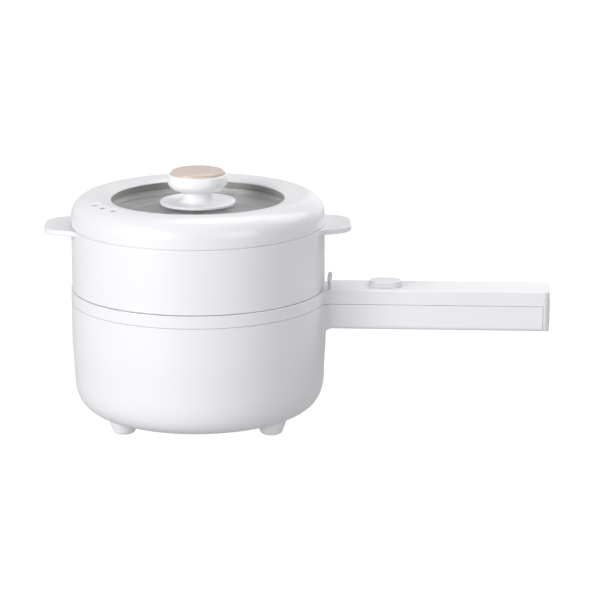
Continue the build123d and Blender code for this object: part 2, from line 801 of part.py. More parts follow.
# ---- pot and heater -----------------------------------------------------------------------
def inner_pot():
    """Coated pot that hangs in the ring by its flange."""
    outer = pot_r + pot_wall
    return turned([
        (0, plate_top_z), (outer, plate_top_z), (outer, flange_z), (pot_flange_r, flange_z),
        (pot_flange_r, flange_top_z), (pot_r, flange_top_z), (pot_r, pot_floor_z), (0, pot_floor_z),
    ], {1: pot_corner + pot_wall, 4: pot_flange_edge, 5: pot_lip, 6: pot_corner})


def pot_seal():
    return hoop(ring_bore_r + seal_in, pot_flange_r, flange_z - seal_t, flange_z)


def heating_tube_path():
    arc = CenterArc((0, 0), tube_circle_r, tube_gap_angle, 360 - 2 * tube_gap_angle)
    return Pos(0, 0, tube_z) * arc


def heating_tube():
    """Sheathed element, most of a ring, half sunk in the plate."""
    path = heating_tube_path()
    return sweep(Plane(path @ 0, z_dir=path % 0) * Circle(tube_r), path=path)


def tube_terminals():
    path = heating_tube_path()
    pins = []
    for at, way in ((0, -1), (1, 1)):
        section = Plane(path @ at, z_dir=(path % at) * way) * Circle(terminal_r)
        pins.append(extrude(section, terminal_l))
    return pins


def heating_plate():
    plate = hoop(plate_bore_r, plate_r, plate_z, plate_top_z)
    inner = tube_circle_r - tube_r
    outer = tube_circle_r + tube_r
    low = tube_z - tube_r
    high = tube_z + tube_r
    groove = [(inner, low), (outer, low), (outer, high), (inner, high)]
    plate -= turned(groove, {2: groove_round, 3: groove_round})
    for x, y in spots(plate_screw_circle_r, plate_screw_angles):
        plate -= post(x, y, plate_screw_r + thread_gap, plate_z, plate_top_z - plate_bore_cap)
    return plate


def plate_spacers():
    low = shield_z + shield_t
    bore = plate_screw_r + hole_gap
    return [
        post(x, y, spacer_r, low, plate_z) - post(x, y, bore, low, plate_z)
        for x, y in spots(plate_screw_circle_r, plate_screw_angles)
    ]


def heat_shield():
    """Pressed steel disc between heater and casing floor."""
    top = shield_z + shield_t
    shield = hoop(shield_bore_r, shield_r, shield_z, top)
    for x, y in spots(plate_screw_circle_r, plate_screw_angles):
        shield -= post(x, y, plate_screw_r + hole_gap, shield_z, top)
    return shield


def plate_screws():
    sizes = (plate_head_r, plate_head_h, plate_screw_r, shield_t + spacer_h + plate_screw_grip)
    return [screw(x, y, shield_z, *sizes) for x, y in spots(plate_screw_circle_r, plate_screw_angles)]


def thermostat():
    """Bimetal disc thermostat pressed against the pot's underside."""
    can = turned([
        (0, thermostat_z), (thermostat_r, thermostat_z), (thermostat_r, plate_top_z), (0, plate_top_z),
    ], {2: thermostat_edge})
    tabs = Pos(0, 0, thermostat_z + tab_low) * Box(tab_w, 2 * tab_reach, tab_t, align=FROM_BELOW)
    return can + tabs


def thermostat_bracket():
    """Sprung strip across the plate's bore that holds the thermostat up."""
    low = thermostat_z - bracket_t
    length = 2 * (plate_bore_r + bracket_lap)
    strip = Pos(0, 0, low) * Box(length, bracket_w, plate_z - low, align=FROM_BELOW)
    gap = Box(length - 2 * bracket_t, bracket_w, plate_z - thermostat_z, align=FROM_BELOW)
    return strip - Pos(0, 0, thermostat_z) * gap


def thermal_fuse():
    return Pos(0, fuse_y, fuse_z) * Rot(0, 90, 0) * Cylinder(fuse_r, fuse_l)


def fuse_clip():
    """Saddle clip that presses the fuse on the plate."""
    inside = fuse_r + fuse_gap
    outside = inside + clip_t
    half = clip_w / 2
    outer = block(-half, half, fuse_y - outside, fuse_y + outside, fuse_z - outside, plate_z)
    return outer - block(-half, half, fuse_y - inside, fuse_y + inside, fuse_z - inside, plate_z)


# ---- steamer ------------------------------------------------------------------------------
def ear_outline(side):
    """Plan of one ear, from inside the wall out to its rounded tip."""
    tip_x = steamer_r + ear_reach
    root_x = steamer_r - 3 * steamer_wall
    corners = [
        (root_x, -ear_root_half), (tip_x, -ear_tip_half), (tip_x, ear_tip_half), (root_x, ear_root_half),
    ]
    outline = FilletPolyline(*corners, radius=[0, ear_corner, ear_corner, 0], close=True)
    return Rot(0, 0, 0 if side > 0 else 180) * make_face(outline)


def rim_with_ears():
    """Top band of the steamer: its round plan with two ears that flare into it."""
    plan = Circle(steamer_r) + ear_outline(1) + ear_outline(-1)
    corners = [v for v in plan.vertices() if abs(sqrt(v.X ** 2 + v.Y ** 2) - steamer_r) < 0.01]
    plan = fillet(corners, ear_flare)
    low = steamer_top_z - ear_t
    band = extrude(Pos(0, 0, low) * plan, ear_t)
    return fillet(band.edges().filter_by(lambda e: e.center().Z < low + 0.01), ear_edge)


def steamer_basket():
    """Steamer tier: one moulding with a perforated floor, a locating skirt and two ears."""
    solid = turned([
        (0, steamer_z), (steamer_r, steamer_z), (steamer_r, steamer_top_z), (0, steamer_top_z)
    ], {1: steamer_corner})
    solid += rim_with_ears()
    solid = fillet(solid.edges().filter_by(lambda e: e.center().Z > steamer_top_z - 0.01), ear_edge)
    floor_low = steamer_z + steamer_floor_rise
    floor_top = floor_low + steamer_floor_t
    inside = steamer_r - steamer_wall
    solid -= turned([
        (0, floor_top), (inside - steamer_draft, floor_top), (inside, steamer_top_z), (0, steamer_top_z),
    ], {1: steamer_inner_corner})
    solid -= post(0, 0, skirt_r, steamer_z, floor_low)
    solid += hoop(skirt_r - skirt_t, skirt_r, steamer_z - skirt_h, floor_low + steamer_floor_t / 2)
    solid += hoop(steamer_bead_r, steamer_bead_r + steamer_bead_w, flange_top_z, floor_low)
    punches = [post(0, 0, hole_r, floor_low, floor_top)]
    rings = int((skirt_r - skirt_t - hole_margin) // hole_ring_pitch)
    for n in range(1, rings + 1):
        for x, y in spots(n * hole_ring_pitch, even(6 * n)):
            punches.append(post(x, y, hole_r, floor_low, floor_top))
    solid -= punches
    return Rot(0, 0, steamer_turn) * solid


# ---- lid ----------------------------------------------------------------------------------
def lid_ring():
    """White ring of the lid: rolled shoulder, sloping crown, thin lip over the gasket."""
    side_z = lid_z + lid_side_h
    inner_r = lid_r - lid_wall
    run = (crown_r - window_r - lip_round) / 3
    bulge = lid_fullness * lid_corner_w
    rise = lid_fullness * lid_corner_h
    outer = [
        Line((inner_r, 0, lid_z), (lid_r - lid_edge, 0, lid_z)),
        Bezier((lid_r - lid_edge, 0, lid_z), (lid_r, 0, lid_z), (lid_r, 0, lid_z + lid_edge)),
        Line((lid_r, 0, lid_z + lid_edge), (lid_r, 0, side_z)),
        Bezier(
            (lid_r, 0, side_z), (lid_r, 0, side_z + rise),
            (crown_r + bulge, 0, crown_z), (crown_r, 0, crown_z),
        ),
        Bezier(
            (crown_r, 0, crown_z), (crown_r - run, 0, crown_z),
            (crown_r - 2 * run, 0, crown_z - lip_drop / 3), (window_r + lip_round, 0, lip_z),
        ),
        Bezier(
            (window_r + lip_round, 0, lip_z), (window_r, 0, lip_z - lip_round / 2), (window_r, 0, shelf_z),
        ),
    ]
    land_r = gasket_out_r + land_gap
    collar_r = land_r + land_t
    under_z = crown_z - lid_wall
    inner = [
        Line((window_r, 0, shelf_z), (land_r, 0, shelf_z)),
        Line((land_r, 0, shelf_z), (land_r, 0, glass_top_z)),
        Line((land_r, 0, glass_top_z), (collar_r, 0, glass_top_z)),
        Line((collar_r, 0, glass_top_z), (collar_r, 0, shelf_z)),
        Bezier((collar_r, 0, shelf_z), (crown_r - crown_land, 0, under_z), (crown_r, 0, under_z)),
        Bezier(
            (crown_r, 0, under_z), (crown_r + bulge - lid_fullness * lid_wall, 0, under_z),
            (inner_r, 0, side_z + rise - lid_fullness * lid_wall), (inner_r, 0, side_z),
        ),
        Line((inner_r, 0, side_z), (inner_r, 0, lid_z)),
    ]
    ring = revolve(make_face(outer + inner), Axis.Z)
    ring += hoop(lid_bead_r, lid_bead_r + lid_bead_w, steamer_top_z, lid_z + lid_edge)
    for x, y in spots(lid_screw_circle_r, lid_screw_angles):
        ring += post(x, y, lid_boss_r, inner_ring_top_z, under_z + lid_boss_lap)
        ring -= post(x, y, lid_screw_r + thread_gap, inner_ring_top_z, inner_ring_top_z + lid_bore_h)
    sink = Cone(vent_r, vent_sink_r, vent_sink_h, align=FROM_BELOW)
    for x, y in spots(vent_circle_r, vent_angles):
        ring -= post(x, y, vent_r, inner_ring_z, crown_z)
        ring -= Pos(x, y, crown_z - vent_sink_drop) * sink
    return ring


def lid_inner_ring():
    """Ring screwed in from below: it holds the gasket up and locates the lid in the steamer."""
    skirt_out = steamer_r - steamer_wall - lid_skirt_gap
    skirt_in = skirt_out - lid_skirt_t
    skirt_z = steamer_top_z - lid_skirt_h
    ring = turned([
        (inner_ring_r, inner_ring_z), (skirt_in, inner_ring_z), (skirt_in, skirt_z), (skirt_out, skirt_z),
        (skirt_out, inner_ring_top_z), (gasket_out_r, inner_ring_top_z), (gasket_out_r, gasket_z),
        (inner_ring_r, gasket_z),
    ], {3: lid_skirt_edge, 6: gasket_edge, 7: gasket_edge})
    for x, y in spots(lid_screw_circle_r, lid_screw_angles):
        ring -= post(x, y, lid_screw_r + hole_gap, inner_ring_z, inner_ring_top_z)
    for x, y in spots(vent_circle_r, vent_angles):
        ring -= post(x, y, vent_clear_r, inner_ring_z, inner_ring_top_z)
    return ring


def lid_screws():
    sizes = (lid_head_r, lid_head_h, lid_screw_r, inner_ring_t + lid_screw_grip)
    return [screw(x, y, inner_ring_z, *sizes) for x, y in spots(lid_screw_circle_r, lid_screw_angles)]


def glass_gasket():
    """Dark silicone channel gasket, open towards the axis."""
    groove_r = gasket_r + glass_grip + glass_gap
    return turned([
        (gasket_r, gasket_z), (gasket_out_r, gasket_z), (gasket_out_r, shelf_z), (gasket_r, shelf_z),
        (gasket_r, glass_top_z + glass_gap), (groove_r, glass_top_z + glass_gap),
        (groove_r, glass_z - glass_gap), (gasket_r, glass_z - glass_gap),
    ], {3: gasket_edge})


def lid_glass():
    edge_r = gasket_r + glass_grip
    disc = turned([
        (0, glass_z), (edge_r, glass_z), (edge_r, glass_top_z), (0, glass_top_z),
    ], {1: glass_edge, 2: glass_edge})
    return disc - post(0, 0, glass_bore_r, glass_z, glass_top_z)


# ---- knob ---------------------------------------------------------------------------------
def knob_base():
    """Shallow dish and stem of the knob in one."""
    rim_z = dish_z + dish_h
    rim_in = dish_r - dish_rim
    base = turned([
        (0, dish_z), (dish_r - dish_foot_in, dish_z), (dish_r, rim_z - dish_rim_h), (dish_r, rim_z),
        (rim_in, rim_z), (rim_in - dish_slope_w, insert_z), (stem_r, insert_z + dish_fall), (stem_r, grip_z),
        (0, grip_z),
    ], {1: dish_edge, 3: dish_rim_edge, 4: dish_rim_edge, 5: dish_bowl, 6: stem_flare})
    base -= post(0, 0, knob_screw_r + knob_gap, dish_z, insert_z)
    return base - post(0, 0, insert_r + thread_gap, insert_z, insert_z + insert_h)


def knob_insert():
    top = insert_z + insert_h
    return post(0, 0, insert_r, insert_z, top) - post(0, 0, knob_screw_r, insert_z, top - insert_cap)


def knob_grip():
    """Bowl-shaped grip with a recess for its cap."""
    shoulder_z = grip_top_z - grip_shoulder
    land_r = cap_r + grip_land
    grip = revolve(make_face([
        Line((0, 0, grip_z), (stem_r, 0, grip_z)),
        Bezier(
            (stem_r, 0, grip_z), (stem_r + grip_neck[0], 0, grip_z + grip_neck[1]),
            (grip_r, 0, grip_z + grip_belly), (grip_r, 0, shoulder_z),
        ),
        Bezier((grip_r, 0, shoulder_z), (grip_r, 0, grip_top_z - grip_shoulder / 4), (land_r, 0, grip_top_z)),
        Line((land_r, 0, grip_top_z), (0, 0, grip_top_z)),
        Line((0, 0, grip_top_z), (0, 0, grip_z)),
    ]), Axis.Z)
    return grip - post(0, 0, cap_r + cap_gap, grip_top_z - cap_t, grip_top_z)


def knob_cap():
    """Domed cap set in the grip."""
    low = grip_top_z - cap_t
    top = grip_top_z + cap_dome
    return revolve(make_face([
        Line((0, 0, low), (cap_r, 0, low)),
        Line((cap_r, 0, low), (cap_r, 0, grip_top_z)),
        Bezier(
            (cap_r, 0, grip_top_z), (cap_r - cap_edge[0], 0, grip_top_z + cap_edge[1]),
            (cap_r - cap_turn, 0, top), (0, 0, top),
        ),
        Line((0, 0, top), (0, 0, low)),
    ]), Axis.Z)


def knob_seal():
    """Clear disc between dish and glass, with a collar in the glass's bore."""
    bore = knob_screw_r + knob_gap
    collar = hoop(bore, glass_bore_r - knob_gap, glass_z, glass_top_z)
    return hoop(bore, dish_r - seal_disc_in, glass_top_z, dish_z) + collar


def knob_washer():
    return hoop(knob_screw_r + knob_gap, washer_r, washer_z, glass_z)


def knob_screw():
    length = insert_z + insert_h - knob_screw_end - washer_z
    return screw(0, 0, washer_z, knob_head_r, knob_head_h, knob_screw_r, length)


def main():
    form = casing_form()
    pieces = {
        "outer_housing": outer_housing(form),
        "rim_cover": rim_cover(form),
        "lid_stop_lug": lid_stop_lug(),
        "foot_pads": foot_pads(),
        "base_plate": base_plate(),
        "base_screws": base_screws(),
        "handle_screws": handle_screws(),
        "button_bezel": button_bezel(),
        "power_button": power_button(),
        "switch_plunger": switch_plunger(),
        "button_switch": button_switch(),
        "control_board": control_board(),
        "board_screws": board_screws(),
        "power_inlet": power_inlet(),
        "inlet_pins": inlet_pins(),
        "live_lead": lead(1),
        "neutral_lead": lead(-1),
        "inner_pot": inner_pot(),
        "pot_seal": pot_seal(),
        "heating_plate": heating_plate(),
        "heating_tube": heating_tube(),
        "tube_terminals": tube_terminals(),
        "plate_spacers": plate_spacers(),
        "plate_screws": plate_screws(),
        "heat_shield": heat_shield(),
        "thermostat": thermostat(),
        "thermostat_bracket": thermostat_bracket(),
        "thermal_fuse": thermal_fuse(),
        "fuse_clip": fuse_clip(),
        "steamer_basket": steamer_basket(),
        "lid_ring": lid_ring(),
        "lid_inner_ring": lid_inner_ring(),
        "lid_screws": lid_screws(),
        "glass_gasket": glass_gasket(),
        "lid_glass": lid_glass(),
        "knob_base": knob_base(),
        "knob_insert": knob_insert(),
        "knob_grip": knob_grip(),
        "knob_cap": knob_cap(),
        "knob_seal": knob_seal(),
        "knob_washer": knob_washer(),
        "knob_screw": knob_screw(),
    }
    os.makedirs("parts", exist_ok=True)
    for name, piece in pieces.items():
        solids = piece if isinstance(piece, list) else [piece]
        export_step(Compound(label=name, children=solids), f"parts/{name}.step")


main()
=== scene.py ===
from math import acos, atan2, hypot, pi, radians, sin, tan

import bmesh
import bpy
from mathutils import Matrix, Vector


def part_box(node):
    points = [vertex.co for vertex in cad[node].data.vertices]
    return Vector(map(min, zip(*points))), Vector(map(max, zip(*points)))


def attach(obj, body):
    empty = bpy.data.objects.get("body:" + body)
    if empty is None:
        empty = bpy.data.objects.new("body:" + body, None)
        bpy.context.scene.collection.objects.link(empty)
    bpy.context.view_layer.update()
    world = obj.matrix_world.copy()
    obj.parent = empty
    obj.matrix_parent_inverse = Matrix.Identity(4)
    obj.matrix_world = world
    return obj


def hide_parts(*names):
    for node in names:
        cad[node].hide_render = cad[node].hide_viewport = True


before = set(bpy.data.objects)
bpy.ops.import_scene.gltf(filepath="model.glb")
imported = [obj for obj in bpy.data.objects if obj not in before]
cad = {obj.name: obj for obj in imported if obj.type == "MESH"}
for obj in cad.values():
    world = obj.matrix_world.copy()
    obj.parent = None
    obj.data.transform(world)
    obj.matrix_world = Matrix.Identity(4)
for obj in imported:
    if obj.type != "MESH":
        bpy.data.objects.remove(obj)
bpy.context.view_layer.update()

# ---- camera ---------------------------------------------------------------------------------
# A long lens stands two metres in front of the pot and 0.4 m above its lid, a little right of the
# pot's middle, and looks slightly down.
camera_at = (0.2028, -2.068, 0.6202)
camera_turn = radians(3.375)
camera_dip = radians(14.04)
camera_roll = radians(-0.11)
lens_mm = 160.7
sensor_mm = 36.0
camera = bpy.data.objects.new("camera", bpy.data.cameras.new("camera"))
camera.data.lens = lens_mm
camera.data.sensor_width = sensor_mm
camera.matrix_world = (
    Matrix.Translation(camera_at)
    @ Matrix.Rotation(camera_turn, 4, "Z")
    @ Matrix.Rotation(pi / 2 - camera_dip, 4, "X")
    @ Matrix.Rotation(camera_roll, 4, "Z")
)
bpy.context.collection.objects.link(camera)
bpy.context.scene.camera = camera

# ---- studio ---------------------------------------------------------------------------------
# White paper lies on the floor, in a white tent, and a white backdrop that the camera doesn't see
# reflects in the pot. A wide soft box and a small one above it stand on the left in front, a fill
# on the right, and three more light the top and the right side from behind.
bpy.context.scene.view_settings.view_transform = "Standard"
tent_glow = 0.23
paper_shine = 1.05        # what the camera sees of the paper and the tent
paper_colour = (0.02, 0.02, 0.02, 1)
paper_half = 6.0
paper_glow = {"floor": 0.45, "backdrop": 0.69}
backdrop_half = 4.0
backdrop_y = 2.6
backdrop_h = 2.5
paper_corners = {
    "floor": [
        (-paper_half, -paper_half, 0), (paper_half, -paper_half, 0),
        (paper_half, paper_half, 0), (-paper_half, paper_half, 0),
    ],
    "backdrop": [
        (-backdrop_half, backdrop_y, 0), (backdrop_half, backdrop_y, 0),
        (backdrop_half, backdrop_y, backdrop_h), (-backdrop_half, backdrop_y, backdrop_h),
    ],
}
aim = Vector((0.05, 0, 0.1))
front = Vector((0, -1, 0))
lamp_distance = 2.2
lamp_spots = {            # direction from the front, elevation, width, power
    "key": (-40, 12, 1.3, 33.3),
    "key_small": (-50, 25, 0.5, 10.4),
    "fill": (40, 12, 1.3, 13.7),
    "side_right": (120, 40, 1.3, 13.6),
    "back_top": (160, 68, 1.5, 18.6),
    "back_low": (160, 12, 1.3, 2.6),
}


def glow_into(tree, glow, target):
    """Feeds a strength that is the glow on the pot and paper_shine for the camera."""
    strength = tree.nodes.new("ShaderNodeMapRange")
    strength.inputs["To Min"].default_value = glow
    strength.inputs["To Max"].default_value = paper_shine
    seen = tree.nodes.new("ShaderNodeLightPath").outputs["Is Camera Ray"]
    tree.links.new(seen, strength.inputs["Value"])
    tree.links.new(strength.outputs["Result"], target)


world = bpy.data.worlds.new("tent")
world.use_nodes = True
background = world.node_tree.nodes["Background"].inputs
background["Color"].default_value = (1, 1, 1, 1)
glow_into(world.node_tree, tent_glow, background["Strength"])
bpy.context.scene.world = world
for name, (turn, rise, width, watts) in lamp_spots.items():
    lamp = bpy.data.lights.new(name, "AREA")
    lamp.size = width
    lamp.energy = watts
    turned_to = Matrix.Rotation(radians(turn), 3, "Z")
    way = turned_to @ Matrix.Rotation(-radians(rise), 3, "X") @ front
    holder = bpy.data.objects.new(name, lamp)
    holder.location = aim + way * lamp_distance
    holder.rotation_euler = (-way).to_track_quat("-Z", "Y").to_euler()
    bpy.context.collection.objects.link(holder)
for name, corners in paper_corners.items():
    sheet = bpy.data.meshes.new(name)
    sheet.from_pydata(corners, [], [(0, 1, 2, 3)])
    paper = bpy.data.materials.new(name + "_paper")
    paper.use_nodes = True
    shader = paper.node_tree.nodes["Principled BSDF"]
    shader.inputs["Base Color"].default_value = paper_colour
    shader.inputs["Roughness"].default_value = 1.0
    shader.inputs["Specular IOR Level"].default_value = 0.0
    shader.inputs["Emission Color"].default_value = (1, 1, 1, 1)
    glow_into(paper.node_tree, paper_glow[name], shader.inputs["Emission Strength"])
    sheet.materials.append(paper)
    laid = bpy.data.objects.new(name, sheet)
    laid.visible_camera = name == "floor"
    bpy.context.collection.objects.link(laid)

# ---- casing ---------------------------------------------------------------------------------
# The lower shell of the pot, with its feet and the lower half of the handle, is one injection
# moulding in white polypropylene. The polished tool leaves a satin gloss with a faint peel.


def node_tree(name, kind, inputs, outputs):
    """Empty node group with typed sockets; returns the tree, its input node and its output node."""
    tree = bpy.data.node_groups.new(name, kind)
    for label, value in inputs.items():
        if value in ("Geometry", "Material"):
            tree.interface.new_socket(label, in_out="INPUT", socket_type="NodeSocket" + value)
            continue
        sort = {int: "Int", float: "Float", tuple: "Color"}[type(value)]
        socket = tree.interface.new_socket(label, in_out="INPUT", socket_type="NodeSocket" + sort)
        socket.default_value = value
    for label, sort in outputs.items():
        tree.interface.new_socket(label, in_out="OUTPUT", socket_type="NodeSocket" + sort)
    return tree, tree.nodes.new("NodeGroupInput").outputs, tree.nodes.new("NodeGroupOutput").inputs


def feed(tree, target, value):
    """Links a socket or a node's first output to an input, or sets the input to a plain value."""
    if isinstance(value, bpy.types.Node):
        value = value.outputs[0]
    if isinstance(value, bpy.types.NodeSocket):
        tree.links.new(value, target)
    else:
        target.default_value = value


def put(tree, kind, feeds=None, **settings):
    """Adds a node; feeds maps its inputs to what goes into them."""
    node = tree.nodes.new(kind)
    for key, value in settings.items():
        setattr(node, key, value)
    for label, value in (feeds or {}).items():
        feed(tree, node.inputs[label], value)
    return node


def calc(tree, operation, first, second=0.0, third=0.0):
    """One Math node."""
    return put(tree, "ShaderNodeMath", {0: first, 1: second, 2: third}, operation=operation)


def blend_colours(tree, amount, first, second):
    """Colour from one to another by an amount from 0 to 1."""
    mix = put(tree, "ShaderNodeMix", {"Factor": amount, 6: first, 7: second}, data_type="RGBA")
    return mix.outputs[2]


def noise(tree, place, scale, detail):
    """Noise texture, from 0 to 1."""
    return put(tree, "ShaderNodeTexNoise", {"Vector": place, "Scale": scale, "Detail": detail})


smear_scale = 45.0        # size of the duller and glossier areas of a handled surface


def moulded_skin_tree():
    """Skin of moulded plastic or silicone: slow drift of tone, peel of the tool and fine grain."""
    tree, given, result = node_tree(
        "moulded_skin", "ShaderNodeTree",
        {"Colour": (0.8, 0.8, 0.8, 1), "Drift Colour": (0.7, 0.7, 0.7, 1), "Drift": 0.5,
         "Drift Scale": 14.0, "Roughness": 0.3, "Roughness Spread": 0.06, "Peel Scale": 500.0,
         "Grain Scale": 4000.0, "Grain Share": 0.2},
        {"Colour": "Color", "Roughness": "Float", "Height": "Float"},
    )
    place = put(tree, "ShaderNodeTexCoord").outputs["Object"]
    drift = noise(tree, place, given["Drift Scale"], detail=3.0)
    amount = calc(tree, "MULTIPLY", drift, given["Drift"])
    peel = noise(tree, place, given["Peel Scale"], detail=1.0)
    grain = noise(tree, place, given["Grain Scale"], detail=2.0)
    smear = noise(tree, place, smear_scale, detail=4.0)
    colour = blend_colours(tree, amount, given["Colour"], given["Drift Colour"])
    rough = calc(tree, "MULTIPLY_ADD", smear, given["Roughness Spread"], given["Roughness"])
    height = calc(tree, "MULTIPLY_ADD", grain, given["Grain Share"], peel)
    feed(tree, result["Colour"], colour)
    feed(tree, result["Roughness"], rough)
    feed(tree, result["Height"], height)
    return tree


moulded_skin = moulded_skin_tree()


def material(name):
    """New node material; returns it with its node tree and its shader."""
    made = bpy.data.materials.new(name)
    made.use_nodes = True
    return made, made.node_tree, made.node_tree.nodes["Principled BSDF"]


def finish(name, skin, values, depth, **sockets):
    """Material with a skin's colour, roughness and relief; the rest is set on the shader."""
    made, tree, shader = material(name)
    effect = put(tree, "ShaderNodeGroup", node_tree=skin)
    for label, value in values.items():
        effect.inputs[label].default_value = value
    bump = put(tree, "ShaderNodeBump", {"Height": effect.outputs["Height"], "Distance": depth})
    feed(tree, shader.inputs["Base Color"], effect.outputs["Colour"])
    feed(tree, shader.inputs["Roughness"], effect.outputs["Roughness"])
    feed(tree, shader.inputs["Normal"], bump)
    for label, value in sockets.items():
        shader.inputs[label.replace("_", " ")].default_value = value
    return made


def dress(node, look):
    """Gives a carried-over piece its finish."""
    cad[node].data.materials.clear()
    cad[node].data.materials.append(look)


white = (0.80, 0.80, 0.825, 1)
white_worn = (0.76, 0.76, 0.79, 1)
casing_white = finish(
    "casing_white", moulded_skin, {"Colour": white, "Drift Colour": white_worn},
    depth=0.00001, Coat_Weight=0.15, Coat_Roughness=0.12,
)
dress("outer_housing", casing_white)

# ---- rim cover ------------------------------------------------------------------------------
# The ring round the mouth, the top of the handle and its end wall are one moulding in the same
# white. Its tongue sits inside the casing, and two screws from under the handle hold it.
cover_white = finish(
    "cover_white", moulded_skin, {"Colour": white, "Drift Colour": white_worn, "Roughness": 0.26},
    depth=0.00001, Coat_Weight=0.2, Coat_Roughness=0.1,
)
dress("rim_cover", cover_white)

# ---- lid-stop lug ---------------------------------------------------------------------------
# A small upright lug of translucent polypropylene, plugged into the ring beside the handle. It
# is greyer than the white mouldings and scatters some light inside.
lug_grey = finish(
    "lug_grey", moulded_skin,
    {"Colour": (0.60, 0.61, 0.64, 1), "Drift Colour": (0.52, 0.53, 0.56, 1), "Roughness": 0.3},
    depth=0.00001, Subsurface_Weight=0.2, Subsurface_Scale=0.002,
)
dress("lid_stop_lug", lug_grey)

# ---- foot pads ------------------------------------------------------------------------------
# Three silicone discs pressed into the feet. Each is turned from one profile whose underside
# has rings that grip the table.


def rounded(corners, radii, steps=6):
    """Outline through corners, some of them rounded; radii maps a corner's index to its radius."""
    points = []
    for i, corner in enumerate(corners):
        here = Vector(corner)
        if i not in radii:
            points.append(here)
            continue
        back = (Vector(corners[i - 1]) - here).normalized()
        ahead = (Vector(corners[(i + 1) % len(corners)]) - here).normalized()
        half = acos(back.dot(ahead)) / 2
        centre = here + (back + ahead).normalized() * radii[i] / sin(half)
        start = here + back * radii[i] / tan(half) - centre
        end = here + ahead * radii[i] / tan(half) - centre
        sweep = pi - 2 * half
        for step in range(steps + 1):
            part = step / steps
            arm = start * sin((1 - part) * sweep) + end * sin(part * sweep)
            points.append(centre + arm / sin(sweep))
    return points


def bend(start, first, second, end, steps=16):
    """Points of a Bezier curve between two ends, pulled by two handles; the start is left out."""
    points = []
    for step in range(1, steps + 1):
        t = step / steps
        near = Vector(start) * (1 - t) ** 3 + Vector(first) * 3 * t * (1 - t) ** 2
        points.append(near + Vector(second) * 3 * t * t * (1 - t) + Vector(end) * t ** 3)
    return points


def finished(tree, copies, crease, look):
    """Makes instances real, shades them smooth between creases and gives them their material."""
    real = put(tree, "GeometryNodeRealizeInstances", {"Geometry": copies})
    smooth = put(tree, "GeometryNodeSetShadeSmooth", {"Geometry": real, "Shade Smooth": True})
    turn = put(tree, "GeometryNodeInputMeshEdgeAngle")
    sharp = put(tree, "FunctionNodeCompare", {0: turn, 1: crease}, operation="GREATER_THAN")
    creased = put(
        tree, "GeometryNodeSetShadeSmooth",
        {"Geometry": smooth, "Selection": sharp, "Shade Smooth": False}, domain="EDGE",
    )
    return put(tree, "GeometryNodeSetMaterial", {"Geometry": creased, "Material": look})


merge_gap = 0.000001      # points closer than this become one


def grid_cell(tree, columns):
    """Row and column of each point of a grid whose rows are so many points long."""
    index = put(tree, "GeometryNodeInputIndex")
    row = calc(tree, "FLOOR", calc(tree, "DIVIDE", index, columns))
    column = calc(tree, "SUBTRACT", index, calc(tree, "MULTIPLY", row, columns))
    return row, column


def on_circle(tree, radius, angle, height=0.0):
    """Position at a radius, an angle about +Z and a height."""
    return put(tree, "ShaderNodeCombineXYZ", {
        "X": calc(tree, "MULTIPLY", radius, calc(tree, "COSINE", angle)),
        "Y": calc(tree, "MULTIPLY", radius, calc(tree, "SINE", angle)),
        "Z": height,
    })


def turning_tree():
    """Turns a profile of edges about +Z, and sets copies of it evenly on a circle."""
    tree, given, result = node_tree(
        "turned_piece", "GeometryNodeTree",
        {"Profile": "Geometry", "Steps": 192, "Copies": 1, "Circle Radius": 0.0, "First Angle": 0.0,
         "Crease Angle": 0.6, "Material": "Material"},
        {"Geometry": "Geometry"},
    )
    size = put(tree, "GeometryNodeAttributeDomainSize", {"Geometry": given["Profile"]})
    columns = calc(tree, "ADD", given["Steps"], 1.0)
    rows = size.outputs["Point Count"]
    grid = put(tree, "GeometryNodeMeshGrid", {"Vertices X": rows, "Vertices Y": columns})
    row, column = grid_cell(tree, columns)
    angle = calc(tree, "MULTIPLY", column, calc(tree, "DIVIDE", 2 * pi, given["Steps"]))
    sample = put(
        tree, "GeometryNodeSampleIndex",
        {"Geometry": given["Profile"], "Value": put(tree, "GeometryNodeInputPosition")},
        data_type="FLOAT_VECTOR",
    )
    feed(tree, sample.inputs["Index"], row)
    point = put(tree, "ShaderNodeSeparateXYZ", {0: sample}).outputs
    around = on_circle(tree, point["X"], angle, point["Z"])
    skin = put(tree, "GeometryNodeSetPosition", {"Geometry": grid, "Position": around})
    whole = put(tree, "GeometryNodeMergeByDistance", {"Geometry": skin, "Distance": merge_gap})
    number = put(tree, "GeometryNodeInputIndex")
    step = calc(tree, "DIVIDE", 2 * pi, given["Copies"])
    bearing = calc(tree, "MULTIPLY_ADD", number, step, given["First Angle"])
    seat = on_circle(tree, given["Circle Radius"], bearing)
    seats = put(tree, "GeometryNodePoints", {"Count": given["Copies"], "Position": seat})
    copies = put(tree, "GeometryNodeInstanceOnPoints", {"Points": seats, "Instance": whole})
    feed(tree, result["Geometry"], finished(tree, copies, given["Crease Angle"], given["Material"]))
    return tree


turned_piece = turning_tree()


def bake(name, start, tree, values, body, node):
    """Runs a tree on a start mesh and keeps the result as a plain mesh that stands for the node."""
    piece = bpy.data.objects.new(name, start)
    bpy.context.collection.objects.link(piece)
    modifier = piece.modifiers.new("shape", "NODES")
    modifier.node_group = tree
    for item in tree.interface.items_tree:
        if item.in_out == "INPUT" and item.name in values:
            modifier[item.identifier] = values[item.name]
    solved = piece.evaluated_get(bpy.context.evaluated_depsgraph_get())
    shape = bpy.data.meshes.new_from_object(solved)
    piece.modifiers.remove(modifier)
    piece.data = shape
    shape.name = name
    skin = bmesh.new()
    skin.from_mesh(shape)
    bmesh.ops.recalc_face_normals(skin, faces=skin.faces)
    skin.to_mesh(shape)
    skin.free()
    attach(piece, body)
    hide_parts(node)


